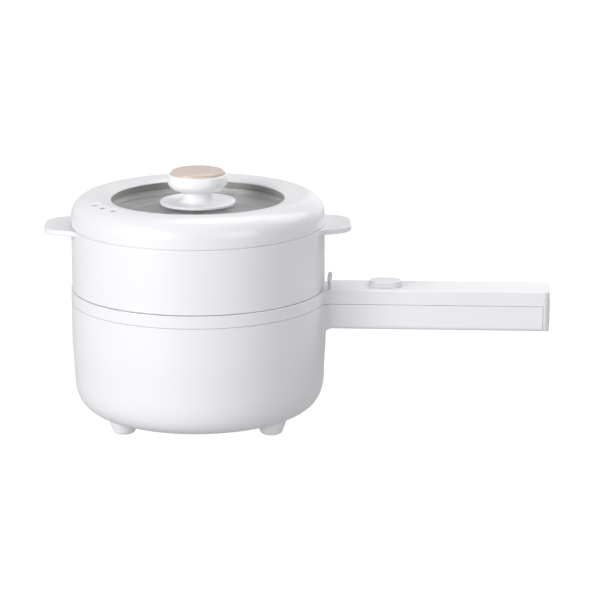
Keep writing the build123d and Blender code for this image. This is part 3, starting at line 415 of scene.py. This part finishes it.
def turned(name, outline, look, body, node, **values):
    """Piece turned from an outline of (radius, height) points; it stands for the node."""
    profile = bpy.data.meshes.new(name + "_profile")
    points = [(r, 0, z) for r, z in outline]
    if outline[0][0] > 0:
        points.append(points[0])
    profile.from_pydata(points, [(i, i + 1) for i in range(len(points) - 1)], [])
    sizes = {label.replace("_", " "): value for label, value in values.items()}
    bake(name, profile, turned_piece, {"Material": look, **sizes}, body, node)


def solids(node):
    """Lowest and highest corner of each separate solid of a node, from the lowest X up."""
    loose = bmesh.new()
    loose.from_mesh(cad[node].data)
    bmesh.ops.remove_doubles(loose, verts=loose.verts, dist=merge_gap)
    waiting = set(loose.verts)
    boxes = []
    while waiting:
        front = [waiting.pop()]
        group = []
        while front:
            vertex = front.pop()
            group.append(vertex.co.copy())
            near = {edge.other_vert(vertex) for edge in vertex.link_edges} & waiting
            waiting -= near
            front.extend(near)
        corners = (Vector(end(co[i] for co in group) for i in range(3)) for end in (min, max))
        boxes.append(tuple(corners))
    loose.free()
    return sorted(boxes, key=lambda box: [round(c, 5) for c in box[0]])


pad_rings = 3
pad_groove = 0.0003
pad_edge = 0.0005
pad_boxes = solids("foot_pads")
pad_r = (pad_boxes[0][1].x - pad_boxes[0][0].x) / 2
pad_h = pad_boxes[0][1].z
pad_spot = (pad_boxes[0][0] + pad_boxes[0][1]) / 2
pad_corners = [(0, 0)]
for ring in range(1, pad_rings + 1):
    ring_r = pad_r * ring / (pad_rings + 1)
    pad_corners += [(ring_r - pad_groove, 0), (ring_r, pad_groove), (ring_r + pad_groove, 0)]
pad_corners += [(pad_r, 0), (pad_r, pad_h), (0, pad_h)]
pad_silicone = finish(
    "pad_silicone", moulded_skin,
    {"Colour": (0.62, 0.62, 0.64, 1), "Drift Colour": (0.50, 0.50, 0.50, 1), "Drift Scale": 160.0,
     "Roughness": 0.6, "Roughness Spread": 0.15, "Peel Scale": 1500.0},
    depth=0.00002,
)
pad_outline = rounded(pad_corners, {len(pad_corners) - 3: pad_edge})
turned(
    "foot_pads_turned", pad_outline, pad_silicone, "base", "foot_pads", Steps=48,
    Copies=len(pad_boxes), Circle_Radius=hypot(pad_spot.x, pad_spot.y),
    First_Angle=atan2(pad_spot.y, pad_spot.x),
)

# ---- bottom cover ---------------------------------------------------------------------------
# A flat polypropylene disc with two rows of cooling slots closes the casing from below. Its
# tool was spark-eroded, so it is duller and grainier than the casing.
cover_grained = finish(
    "cover_grained", moulded_skin,
    {"Colour": (0.70, 0.705, 0.73, 1), "Drift Colour": (0.64, 0.645, 0.67, 1), "Roughness": 0.5,
     "Peel Scale": 1800.0, "Grain Share": 0.6},
    depth=0.00004,
)
dress("base_plate", cover_grained)

# ---- screws ---------------------------------------------------------------------------------
# Zinc-plated pan-head screws with a cross recess hold the bottom cover, the handle, the board
# and the heater, and stainless ones hold the lid's ring and the knob.
head_roundness = 0.5      # below 1, the head's side stands steeper than a half round
recess_reach = 1.1        # cross recess, in head radii
recess_w = 0.24
core_r = 0.8              # the core of the shank and the thread on it, in shank radii
tooth_r = 0.18
thread_start = 0.1        # in shank lengths
thread_l = 0.86
core_sides = 24
points_per_turn = 20


def screw_tree():
    """Pan-head screw with a cross recess and a rolled thread, driven up at each point."""
    tree, given, result = node_tree(
        "threaded_screw", "GeometryNodeTree",
        {"Seats": "Geometry", "Head Radius": 0.003, "Head Height": 0.0014, "Shank Radius": 0.0015,
         "Length": 0.006, "Pitch": 0.0008, "Head Rows": 10, "Head Columns": 48, "Crease Angle": 0.7,
         "Material": "Material"},
        {"Geometry": "Geometry"},
    )
    rows = calc(tree, "ADD", given["Head Rows"], 1.0)
    columns = calc(tree, "ADD", given["Head Columns"], 1.0)
    grid = put(tree, "GeometryNodeMeshGrid", {"Vertices X": rows, "Vertices Y": columns})
    row, column = grid_cell(tree, columns)
    last = calc(tree, "SUBTRACT", given["Head Rows"], 1.0)
    fall = calc(tree, "MULTIPLY", calc(tree, "DIVIDE", row, last), pi / 2)
    closing = calc(tree, "LESS_THAN", row, given["Head Rows"])
    across = calc(tree, "MAXIMUM", calc(tree, "SINE", fall), 0.0)
    across = calc(tree, "POWER", across, head_roundness)
    across = calc(tree, "MULTIPLY", calc(tree, "MULTIPLY", across, closing), given["Head Radius"])
    down = calc(tree, "MAXIMUM", calc(tree, "COSINE", fall), 0.0)
    down = calc(tree, "POWER", down, head_roundness)
    drop = calc(tree, "MULTIPLY", given["Head Height"], -1.0)
    down = calc(tree, "MULTIPLY", down, drop)
    angle = calc(tree, "MULTIPLY", column, calc(tree, "DIVIDE", 2 * pi, given["Head Columns"]))
    around = on_circle(tree, across, angle, down)
    shell = put(tree, "GeometryNodeSetPosition", {"Geometry": grid, "Position": around})
    head = put(tree, "GeometryNodeMergeByDistance", {"Geometry": shell, "Distance": merge_gap})
    cut = put(
        tree, "GeometryNodeMeshBoolean", {"Mesh 1": head}, operation="DIFFERENCE", solver="EXACT",
    )
    long = calc(tree, "MULTIPLY", given["Head Radius"], recess_reach)
    slim = calc(tree, "MULTIPLY", given["Head Radius"], recess_w)
    sunk = put(tree, "ShaderNodeCombineXYZ", {"Z": drop})
    for along, over in ((long, slim), (slim, long)):
        size = put(tree, "ShaderNodeCombineXYZ", {"X": along, "Y": over, "Z": given["Head Height"]})
        arm = put(tree, "GeometryNodeMeshCube", {"Size": size})
        moved = put(tree, "GeometryNodeTransform", {"Geometry": arm, "Translation": sunk})
        feed(tree, cut.inputs["Mesh 2"], moved)
    crest = calc(tree, "MULTIPLY", given["Shank Radius"], core_r)
    core = put(tree, "GeometryNodeMeshCylinder", {
        "Vertices": core_sides, "Radius": crest, "Depth": given["Length"],
    })
    half = put(tree, "ShaderNodeCombineXYZ", {"Z": calc(tree, "MULTIPLY", given["Length"], 0.5)})
    shank = put(tree, "GeometryNodeTransform", {"Geometry": core, "Translation": half})
    threaded = calc(tree, "MULTIPLY", given["Length"], thread_l)
    helix = put(tree, "GeometryNodeCurveSpiral", {
        "Resolution": points_per_turn, "Rotations": calc(tree, "DIVIDE", threaded, given["Pitch"]),
        "Start Radius": crest, "End Radius": crest, "Height": threaded,
    })
    clear = calc(tree, "MULTIPLY", given["Length"], thread_start)
    rise = put(tree, "ShaderNodeCombineXYZ", {"Z": clear})
    raised = put(tree, "GeometryNodeTransform", {"Geometry": helix, "Translation": rise})
    tooth = put(tree, "GeometryNodeCurvePrimitiveCircle", {
        "Resolution": 3, "Radius": calc(tree, "MULTIPLY", given["Shank Radius"], tooth_r),
    })
    thread = put(tree, "GeometryNodeCurveToMesh", {
        "Curve": raised, "Profile Curve": tooth, "Fill Caps": True,
    })
    whole = put(tree, "GeometryNodeJoinGeometry")
    for part in (thread, shank, cut):
        feed(tree, whole.inputs[0], part)
    seats = given["Seats"]
    copies = put(tree, "GeometryNodeInstanceOnPoints", {"Points": seats, "Instance": whole})
    feed(tree, result["Geometry"], finished(tree, copies, given["Crease Angle"], given["Material"]))
    return tree


threaded_screw = screw_tree()


def metal_skin_tree():
    """Metal surface: mottled tone, fine streaks drawn out along X, and their relief."""
    tree, given, result = node_tree(
        "metal_skin", "ShaderNodeTree",
        {"Colour": (0.6, 0.6, 0.6, 1), "Dark Colour": (0.4, 0.4, 0.4, 1), "Mottle Scale": 200.0,
         "Streak Scale": 900.0, "Streak Length": 12.0, "Roughness": 0.3, "Roughness Spread": 0.2},
        {"Colour": "Color", "Roughness": "Float", "Height": "Float"},
    )
    place = put(tree, "ShaderNodeTexCoord").outputs["Object"]
    mottle = noise(tree, place, given["Mottle Scale"], detail=3.0)
    parts = put(tree, "ShaderNodeSeparateXYZ", {0: place}).outputs
    drawn = put(tree, "ShaderNodeCombineXYZ", {
        "X": calc(tree, "DIVIDE", parts["X"], given["Streak Length"]),
        "Y": parts["Y"], "Z": parts["Z"],
    })
    streak = noise(tree, drawn, given["Streak Scale"], detail=2.0)
    colour = blend_colours(tree, mottle, given["Colour"], given["Dark Colour"])
    rough = calc(tree, "MULTIPLY_ADD", streak, given["Roughness Spread"], given["Roughness"])
    feed(tree, result["Colour"], colour)
    feed(tree, result["Roughness"], rough)
    feed(tree, result["Height"], streak)
    return tree


metal_skin = metal_skin_tree()
zinc = finish(
    "zinc_plate", metal_skin,
    {"Colour": (0.62, 0.62, 0.60, 1), "Dark Colour": (0.48, 0.49, 0.50, 1), "Mottle Scale": 900.0,
     "Streak Length": 1.0},
    depth=0.00001, Metallic=1.0,
)
stainless = finish(
    "stainless_steel", metal_skin,
    {"Colour": (0.63, 0.62, 0.61, 1), "Dark Colour": (0.55, 0.54, 0.53, 1), "Roughness": 0.2},
    depth=0.00001, Metallic=1.0,
)
screw_sets = {            # node: body, head height, shank radius, thread pitch, finish
    "base_screws": ("base", 0.0011, 0.00145, 0.0008, zinc),
    "handle_screws": ("base", 0.0020, 0.00145, 0.0008, zinc),
    "board_screws": ("base", 0.0014, 0.00095, 0.0006, zinc),
    "plate_screws": ("base", 0.0014, 0.0019, 0.0009, zinc),
    "lid_screws": ("lid", 0.0016, 0.00125, 0.0008, stainless),
    "knob_screw": ("lid", 0.0026, 0.0024, 0.0010, stainless),
}
for node, (body, head_h, shank_r, pitch, look) in screw_sets.items():
    boxes = solids(node)
    spots = [((a.x + b.x) / 2, (a.y + b.y) / 2, a.z + head_h) for a, b in boxes]
    seats = bpy.data.meshes.new(node + "_seats")
    seats.from_pydata(spots, [], [])
    low, high = boxes[0]
    bake(node + "_threaded", seats, threaded_screw, {
        "Head Radius": (high.x - low.x) / 2, "Head Height": head_h, "Shank Radius": shank_r,
        "Length": high.z - low.z - head_h, "Pitch": pitch, "Material": look,
    }, body, node)

# ---- push button ----------------------------------------------------------------------------
# An oval collar glued into the handle's top and the domed cap that moves in it, both in glossy
# white ABS. The collar is a shade greyer than the cap.
collar_white = finish(
    "collar_white", moulded_skin,
    {"Colour": (0.72, 0.72, 0.745, 1), "Drift Colour": (0.68, 0.68, 0.71, 1), "Roughness": 0.2},
    depth=0.000006, Coat_Weight=0.3, Coat_Roughness=0.06,
)
cap_white = finish(
    "cap_white", moulded_skin, {"Colour": white, "Drift Colour": white_worn, "Roughness": 0.2},
    depth=0.000006, Coat_Weight=0.3, Coat_Roughness=0.06,
)
dress("button_bezel", collar_white)
dress("power_button", cap_white)

# ---- switch and board -----------------------------------------------------------------------
# A glass-fibre board hangs under the handle's top with its relay and capacitor. The switch that
# the button works is black nylon. The board's green resist shows its copper tracks as ridges.
nylon_black = finish(
    "nylon_black", moulded_skin,
    {"Colour": (0.020, 0.020, 0.022, 1), "Drift Colour": (0.035, 0.035, 0.038, 1), "Roughness": 0.4,
     "Peel Scale": 2500.0},
    depth=0.00002,
)
dress("button_switch", nylon_black)
dress("switch_plunger", nylon_black)
resist_green = (0.015, 0.11, 0.035, 1)
track_green = (0.03, 0.20, 0.06, 1)
resist, tree, shader = material("board_resist")
place = put(tree, "ShaderNodeTexCoord").outputs["Object"]
tracks = put(tree, "ShaderNodeTexBrick", {
    "Vector": place, "Scale": 160.0, "Mortar Size": 0.08, "Mortar Smooth": 0.2,
})
tone = blend_colours(tree, tracks.outputs["Fac"], resist_green, track_green)
relief = put(tree, "ShaderNodeBump", {"Height": tracks.outputs["Fac"], "Distance": 0.00003})
feed(tree, shader.inputs["Base Color"], tone)
feed(tree, shader.inputs["Normal"], relief)
shader.inputs["Roughness"].default_value = 0.3
shader.inputs["Coat Weight"].default_value = 0.5
dress("control_board", resist)

# ---- appliance inlet ------------------------------------------------------------------------
# A black phenolic socket stands in the end wall of the handle, with three nickel-plated brass
# blades for the mains connector.
phenolic = finish(
    "phenolic_black", moulded_skin,
    {"Colour": (0.018, 0.018, 0.019, 1), "Drift Colour": (0.030, 0.029, 0.028, 1),
     "Roughness": 0.45, "Peel Scale": 900.0, "Grain Share": 0.6},
    depth=0.00004,
)
nickel = finish(
    "nickel_plate", metal_skin,
    {"Colour": (0.66, 0.62, 0.54, 1), "Dark Colour": (0.58, 0.54, 0.46, 1), "Roughness": 0.18},
    depth=0.00001, Metallic=1.0,
)
dress("power_inlet", phenolic)
dress("inlet_pins", nickel)

# ---- leads ----------------------------------------------------------------------------------
# Two silicone-insulated wires run from the inlet along the handle's floor and down inside the
# casing to the heating tube, one brown and one blue.
for node, colour, shade in (
    ("live_lead", (0.12, 0.035, 0.012, 1), (0.09, 0.026, 0.010, 1)),
    ("neutral_lead", (0.012, 0.055, 0.26, 1), (0.010, 0.042, 0.20, 1)),
):
    dress(node, finish(
        node + "_silicone", moulded_skin,
        {"Colour": colour, "Drift Colour": shade, "Drift Scale": 60.0, "Roughness": 0.5,
         "Peel Scale": 1500.0},
        depth=0.00002,
    ))

# ---- inner pot ------------------------------------------------------------------------------
# The pot is drawn from one aluminium disc and hangs in the ring by its flange. A dark non-stick
# coating with pale flecks covers it.
pot_low, pot_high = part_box("inner_pot")
pot_wall = 0.0015
pot_floor = 0.0025
pot_corner = 0.012
pot_lip = 0.0014
flange_w = 0.0036         # flange beyond the pot's wall
flange_edge = 0.0006
pot_out = pot_high.x - flange_w
flange_z = pot_high.z - pot_wall
bowl_r = pot_out - pot_wall
bowl_z = pot_low.z + pot_floor
pot_outline = rounded(
    [(0, pot_low.z), (pot_out, pot_low.z), (pot_out, flange_z), (pot_high.x, flange_z),
     (pot_high.x, pot_high.z), (bowl_r, pot_high.z), (bowl_r, bowl_z), (0, bowl_z)],
    {1: pot_corner + pot_wall, 4: flange_edge, 5: pot_lip, 6: pot_corner}, steps=10,
)
coat_dark = (0.040, 0.040, 0.043, 1)
coat_light = (0.060, 0.060, 0.063, 1)
fleck_grey = (0.42, 0.42, 0.43, 1)
coat_rough = 0.32
coat_rough_spread = 0.15
nonstick, tree, shader = material("nonstick_coat")
place = put(tree, "ShaderNodeTexCoord").outputs["Object"]
flecks = put(tree, "ShaderNodeTexVoronoi", {"Vector": place, "Scale": 420.0})
fleck = put(tree, "ShaderNodeMapRange", {
    "Value": flecks, "From Min": 0.10, "From Max": 0.22, "To Min": 1.0, "To Max": 0.0,
})
cloud = noise(tree, place, scale=30.0, detail=3.0)
coat = blend_colours(tree, cloud, coat_dark, coat_light)
feed(tree, shader.inputs["Base Color"], blend_colours(tree, fleck, coat, fleck_grey))
skin_noise = noise(tree, place, scale=1600.0, detail=2.0)
relief = put(tree, "ShaderNodeBump", {"Height": skin_noise, "Distance": 0.00003})
feed(tree, shader.inputs["Normal"], relief)
dulled = calc(tree, "MULTIPLY_ADD", cloud, coat_rough_spread, coat_rough)
feed(tree, shader.inputs["Roughness"], dulled)
turned("inner_pot_drawn", pot_outline, nonstick, "base", "inner_pot", Steps=256)

# ---- pot seal -------------------------------------------------------------------------------
# A flat ring of translucent silicone, cut from sheet, lies under the pot's flange. It keeps steam
# and broth out of the casing.
seal_silicone = finish(
    "seal_silicone", moulded_skin,
    {"Colour": (0.66, 0.67, 0.68, 1), "Drift Colour": (0.56, 0.57, 0.58, 1), "Roughness": 0.45},
    depth=0.00002, Subsurface_Weight=0.3, Subsurface_Scale=0.002,
)
dress("pot_seal", seal_silicone)

# ---- heater ---------------------------------------------------------------------------------
# A die-cast aluminium plate carries a sheathed steel tube half sunk in its underside. It stands
# on glazed ceramic spacers over a bright steel shield.
cast_aluminium = finish(
    "cast_aluminium", metal_skin,
    {"Colour": (0.52, 0.52, 0.53, 1), "Dark Colour": (0.42, 0.42, 0.43, 1), "Mottle Scale": 350.0,
     "Streak Length": 1.0, "Roughness": 0.42},
    depth=0.00005, Metallic=1.0,
)
bright_steel = finish(
    "bright_steel", metal_skin,
    {"Colour": (0.66, 0.66, 0.67, 1), "Dark Colour": (0.58, 0.58, 0.59, 1), "Mottle Scale": 40.0,
     "Streak Length": 30.0, "Roughness": 0.22},
    depth=0.00001, Metallic=1.0,
)
glazed = finish(
    "glazed_ceramic", moulded_skin,
    {"Colour": (0.74, 0.72, 0.66, 1), "Drift Colour": (0.66, 0.64, 0.58, 1), "Drift Scale": 300.0,
     "Roughness": 0.12, "Peel Scale": 700.0},
    depth=0.00002, Coat_Weight=0.6, Coat_Roughness=0.04,
)
heat_tints = ((0.35, (0.30, 0.21, 0.11, 1)), (0.65, (0.14, 0.15, 0.24, 1)))   # straw, then blue
tube_rough = 0.3
tube_rough_spread = 0.2
tube_steel, tree, shader = material("tinted_tube")
place = put(tree, "ShaderNodeTexCoord").outputs["Object"]
heat = noise(tree, place, scale=35.0, detail=2.0)
tint = put(tree, "ShaderNodeValToRGB", {"Fac": heat})
for stop, (reach, colour) in zip(tint.color_ramp.elements, heat_tints):
    stop.color = colour
    stop.position = reach
feed(tree, shader.inputs["Base Color"], tint)
scaled = calc(tree, "MULTIPLY_ADD", heat, tube_rough_spread, tube_rough)
feed(tree, shader.inputs["Roughness"], scaled)
shader.inputs["Metallic"].default_value = 1.0
dress("heating_plate", cast_aluminium)
dress("heating_tube", tube_steel)
dress("tube_terminals", bright_steel)
dress("plate_spacers", glazed)
dress("heat_shield", bright_steel)

# ---- thermostat and fuse --------------------------------------------------------------------
# A sprung steel strip presses the thermostat's aluminium can against the pot. A saddle clip
# holds the thermal fuse, a small plated brass capsule, on the plate.
spun_aluminium = finish(
    "spun_aluminium", metal_skin,
    {"Colour": (0.68, 0.68, 0.69, 1), "Dark Colour": (0.58, 0.58, 0.59, 1), "Roughness": 0.25},
    depth=0.00001, Metallic=1.0,
)
fuse_brass = finish(
    "fuse_brass", metal_skin,
    {"Colour": (0.55, 0.45, 0.22, 1), "Dark Colour": (0.42, 0.33, 0.15, 1), "Roughness": 0.3},
    depth=0.00001, Metallic=1.0,
)
dress("thermostat", spun_aluminium)
dress("thermostat_bracket", bright_steel)
dress("thermal_fuse", fuse_brass)
dress("fuse_clip", bright_steel)

# ---- steamer --------------------------------------------------------------------------------
# One white polypropylene moulding with a perforated floor and two flat ears. It stands on the
# pot's flange and its skirt keeps it in place. It is slightly glossier than the casing.
steamer_white = finish(
    "steamer_white", moulded_skin, {"Colour": white, "Drift Colour": white_worn, "Roughness": 0.28},
    depth=0.00001, Coat_Weight=0.15, Coat_Roughness=0.12,
)
dress("steamer_basket", steamer_white)

# ---- lid ring -------------------------------------------------------------------------------
# The lid's outer moulding rolls over from the side to a crown and falls to a thin lip over the
# gasket. Three countersunk vents sit at its left front. The inner ring, screwed in from below,
# is a plainer moulding in the same white.
inner_white = finish(
    "inner_white", moulded_skin,
    {"Colour": (0.80, 0.80, 0.82, 1), "Drift Colour": (0.75, 0.75, 0.77, 1), "Roughness": 0.42,
     "Peel Scale": 1200.0},
    depth=0.00002,
)


def overlay(made, amount, colour):
    """Lays another colour over a finish, where the amount that a function builds is 1."""
    tree = made.node_tree
    target = tree.nodes["Principled BSDF"].inputs["Base Color"]
    under = target.links[0].from_socket
    feed(tree, target, blend_colours(tree, amount(tree), under, colour))


lid_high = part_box("lid_ring")[1]
vent_in = 0.0134          # steam vents in from the lid's side
vent_angles = (-150.5, -142.0, -132.9)
vent_shade_drop = 0.0017      # middle of the painted shade's reach below the crown
vent_shade_radii = (0.0023, 0.0031)    # the painted shade fades between these radii
# painted shade: the grey laid into the vents' cones stands for their shaded slopes and dark holes
vent_shade_grey = (0.34, 0.34, 0.36, 1)


def painted_vent_shade(tree):
    """1 low in the cone of a steam vent, where the vent is painted a grey shade."""
    place = put(tree, "ShaderNodeTexCoord").outputs["Object"]
    nearest = 1.0
    for angle in vent_angles:
        turned_to = Matrix.Rotation(radians(angle), 3, "Z")
        vent = turned_to @ Vector((lid_high.x - vent_in, 0, 0))
        vent.z = lid_high.z - vent_shade_drop
        away = put(tree, "ShaderNodeVectorMath", {0: place, 1: vent}, operation="DISTANCE")
        nearest = calc(tree, "MINIMUM", away.outputs["Value"], nearest)
    return put(tree, "ShaderNodeMapRange", {
        "Value": nearest, "From Min": vent_shade_radii[0], "From Max": vent_shade_radii[1],
        "To Min": 1.0, "To Max": 0.0,
    })


lid_vented = finish(
    "lid_vented", moulded_skin, {"Colour": white, "Drift Colour": white_worn, "Roughness": 0.26},
    depth=0.00001, Coat_Weight=0.2, Coat_Roughness=0.1,
)
# Painted shade: the vents' cones are painted grey.
overlay(lid_vented, painted_vent_shade, vent_shade_grey)
dress("lid_ring", lid_vented)
dress("lid_inner_ring", inner_white)

# ---- gasket and glass -----------------------------------------------------------------------
# A tempered, faintly smoke-tinted disc with a film of steam sits in the groove of a silicone
# channel, whose two soft beads press on the glass. The channel is grey above the glass, and from
# there down it is painted pale: painted light that stands for the lit inner ring below the glass.
gasket_low, gasket_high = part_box("glass_gasket")
glass_low, glass_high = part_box("lid_glass")
gasket_in = 0.0692
gasket_edge = 0.0005
glass_gap = 0.00005
glass_edge = 0.0006
glass_bore = 0.0042
# painted light: the pale that the gasket is painted below the glass
gasket_painted_light = (0.87, 0.87, 0.86, 1)
glass_tint = (0.84, 0.85, 0.85, 1)
glass_tint_deep = (0.80, 0.81, 0.81, 1)
glass_smear = 0.03
bead_r = 0.0003
groove_r = glass_high.x + glass_gap
groove_top = glass_high.z + glass_gap
groove_base = glass_low.z - glass_gap
gasket_outline = rounded(
    [(gasket_in, gasket_low.z), (gasket_high.x, gasket_low.z), (gasket_high.x, gasket_high.z),
     (gasket_in, gasket_high.z), (gasket_in, groove_top), (groove_r, groove_top),
     (groove_r, groove_base), (gasket_in, groove_base)],
    {0: gasket_edge, 3: gasket_edge, 4: bead_r, 7: bead_r},
)
gasket_grey = finish(
    "gasket_grey", moulded_skin,
    {"Colour": (0.36, 0.36, 0.33, 1), "Drift Colour": (0.30, 0.30, 0.275, 1), "Drift Scale": 90.0,
     "Roughness": 0.55, "Roughness Spread": 0.12, "Peel Scale": 1500.0},
    depth=0.00002,
)


def below_glass(tree):
    """1 from the glass's top edge down, where the gasket is painted pale as painted light."""
    place = put(tree, "ShaderNodeTexCoord").outputs["Object"]
    height = put(tree, "ShaderNodeSeparateXYZ", {0: place}).outputs["Z"]
    return put(tree, "ShaderNodeMapRange", {
        "Value": height, "From Min": glass_high.z - glass_edge, "From Max": glass_high.z,
        "To Min": 1.0, "To Max": 0.0,
    })


# Painted light: the gasket is painted pale from the glass's top edge down.
overlay(gasket_grey, below_glass, gasket_painted_light)
turned("glass_gasket_turned", gasket_outline, gasket_grey, "lid", "glass_gasket", Steps=256)
glass_outline = rounded(
    [(glass_bore, glass_low.z), (glass_high.x, glass_low.z), (glass_high.x, glass_high.z),
     (glass_bore, glass_high.z)], {1: glass_edge, 2: glass_edge},
)
smoke_glass, tree, shader = material("smoke_glass")
place = put(tree, "ShaderNodeTexCoord").outputs["Object"]
film = noise(tree, place, scale=25.0, detail=4.0)
wave = noise(tree, place, scale=40.0, detail=0.0)
feed(tree, shader.inputs["Base Color"], blend_colours(tree, film, glass_tint, glass_tint_deep))
feed(tree, shader.inputs["Roughness"], calc(tree, "MULTIPLY", film, glass_smear))
relief = put(tree, "ShaderNodeBump", {"Height": wave, "Distance": 0.000008})
feed(tree, shader.inputs["Normal"], relief)
shader.inputs["IOR"].default_value = 1.5
shader.inputs["Transmission Weight"].default_value = 0.5
shader.inputs["Alpha"].default_value = 0.25
turned("lid_glass_disc", glass_outline, smoke_glass, "lid", "lid_glass", Steps=256)

# ---- knob -----------------------------------------------------------------------------------
# A shallow dish and its stem carry a bowl-shaped grip with a domed, rose-beige pearl cap. One
# screw through the glass holds the knob, over a clear silicone disc and a steel washer.
dish_low, dish_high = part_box("knob_base")
dish_h = 0.0030
dish_floor_t = 0.0012
dish_rim = 0.0014
dish_slope_w = 0.0080
dish_foot_in = 0.0045
dish_rim_h = 0.0022
dish_fall = 0.0006
dish_edge = 0.0008
dish_bowl = 0.0250
dish_rim_edge = 0.0004
dish_bead = 0.0012
stem_r = 0.0116
stem_flare = 0.0040
rim_z = dish_low.z + dish_h
rim_in = dish_high.x - dish_rim
dish_floor_z = dish_low.z + dish_floor_t
dish_outline = rounded(
    [(0, dish_low.z), (dish_high.x - dish_foot_in, dish_low.z), (dish_high.x, rim_z - dish_rim_h),
     (dish_high.x, rim_z), (rim_in, rim_z), (rim_in - dish_slope_w, dish_floor_z),
     (stem_r, dish_floor_z + dish_fall), (stem_r, dish_high.z), (0, dish_high.z)],
    {1: dish_edge, 3: dish_bead, 4: dish_rim_edge, 5: dish_bowl, 6: stem_flare}, steps=10,
)
# Painted light: the knob's white is painted lighter than the other mouldings' white, to make up for
# the shade that falls on the dish and the grip.
knob_white = finish(
    "knob_white", moulded_skin,
    {"Colour": (0.88, 0.88, 0.895, 1), "Drift Colour": (0.85, 0.85, 0.87, 1), "Roughness": 0.26},
    depth=0.00001, Coat_Weight=0.2, Coat_Roughness=0.1,
)
turned("knob_base_turned", dish_outline, knob_white, "lid", "knob_base", Steps=160)
grip_low, grip_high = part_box("knob_grip")
cap_low, cap_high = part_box("knob_cap")
grip_shoulder = 0.0064
grip_land = 0.0010
grip_neck = (0.0045, 0.0006)
grip_belly = 0.0030
shoulder_pull_h = grip_shoulder / 4     # of the shoulder's one pulling point, below the top
pull_share = 2 / 3                      # a curve with two handles follows that point from here
cap_gap = 0.0003
grip_r = grip_high.x
shoulder_z = grip_high.z - grip_shoulder
land_r = cap_high.x + grip_land
recess_r = cap_high.x + cap_gap
grip_outline = [(0, grip_low.z), (stem_r, grip_low.z)]
shoulder_pull = Vector((grip_r, grip_high.z - shoulder_pull_h))
grip_outline += bend(
    (stem_r, grip_low.z), (stem_r + grip_neck[0], grip_low.z + grip_neck[1]),
    (grip_r, grip_low.z + grip_belly), (grip_r, shoulder_z),
)
grip_outline += bend(
    (grip_r, shoulder_z), Vector((grip_r, shoulder_z)).lerp(shoulder_pull, pull_share),
    Vector((land_r, grip_high.z)).lerp(shoulder_pull, pull_share), (land_r, grip_high.z), steps=10,
)
grip_outline += [(recess_r, grip_high.z), (recess_r, cap_low.z), (0, cap_low.z)]
turned("knob_grip_turned", grip_outline, knob_white, "lid", "knob_grip", Steps=160)
cap_edge = (0.0001, 0.0033)
cap_turn = 0.0019
cap_outline = [(0, cap_low.z), (cap_high.x, cap_low.z), (cap_high.x, grip_high.z)]
cap_outline += bend(
    (cap_high.x, grip_high.z), (cap_high.x - cap_edge[0], grip_high.z + cap_edge[1]),
    (cap_high.x - cap_turn, cap_high.z), (0, cap_high.z), steps=28,
)
rose_pearl = finish(
    "rose_pearl", moulded_skin,
    {"Colour": (0.62, 0.52, 0.46, 1), "Drift Colour": (0.60, 0.50, 0.44, 1), "Drift Scale": 60.0,
     "Roughness": 0.34, "Grain Scale": 6000.0, "Grain Share": 0.8},
    depth=0.00001, Coat_Weight=0.2, Coat_Roughness=0.15,
)
turned("knob_cap_domed", cap_outline, rose_pearl, "lid", "knob_cap", Steps=160)
insert_brass = finish(
    "insert_brass", metal_skin,
    {"Colour": (0.60, 0.43, 0.16, 1), "Dark Colour": (0.50, 0.35, 0.12, 1), "Roughness": 0.25},
    depth=0.00001, Metallic=1.0,
)
clear_silicone = finish(
    "clear_silicone", moulded_skin,
    {"Colour": (0.60, 0.61, 0.62, 1), "Drift Colour": (0.52, 0.53, 0.54, 1), "Roughness": 0.3},
    depth=0.00002, Transmission_Weight=0.6, Subsurface_Weight=0.2, Subsurface_Scale=0.001,
)
dress("knob_insert", insert_brass)
dress("knob_seal", clear_silicone)
dress("knob_washer", stainless)
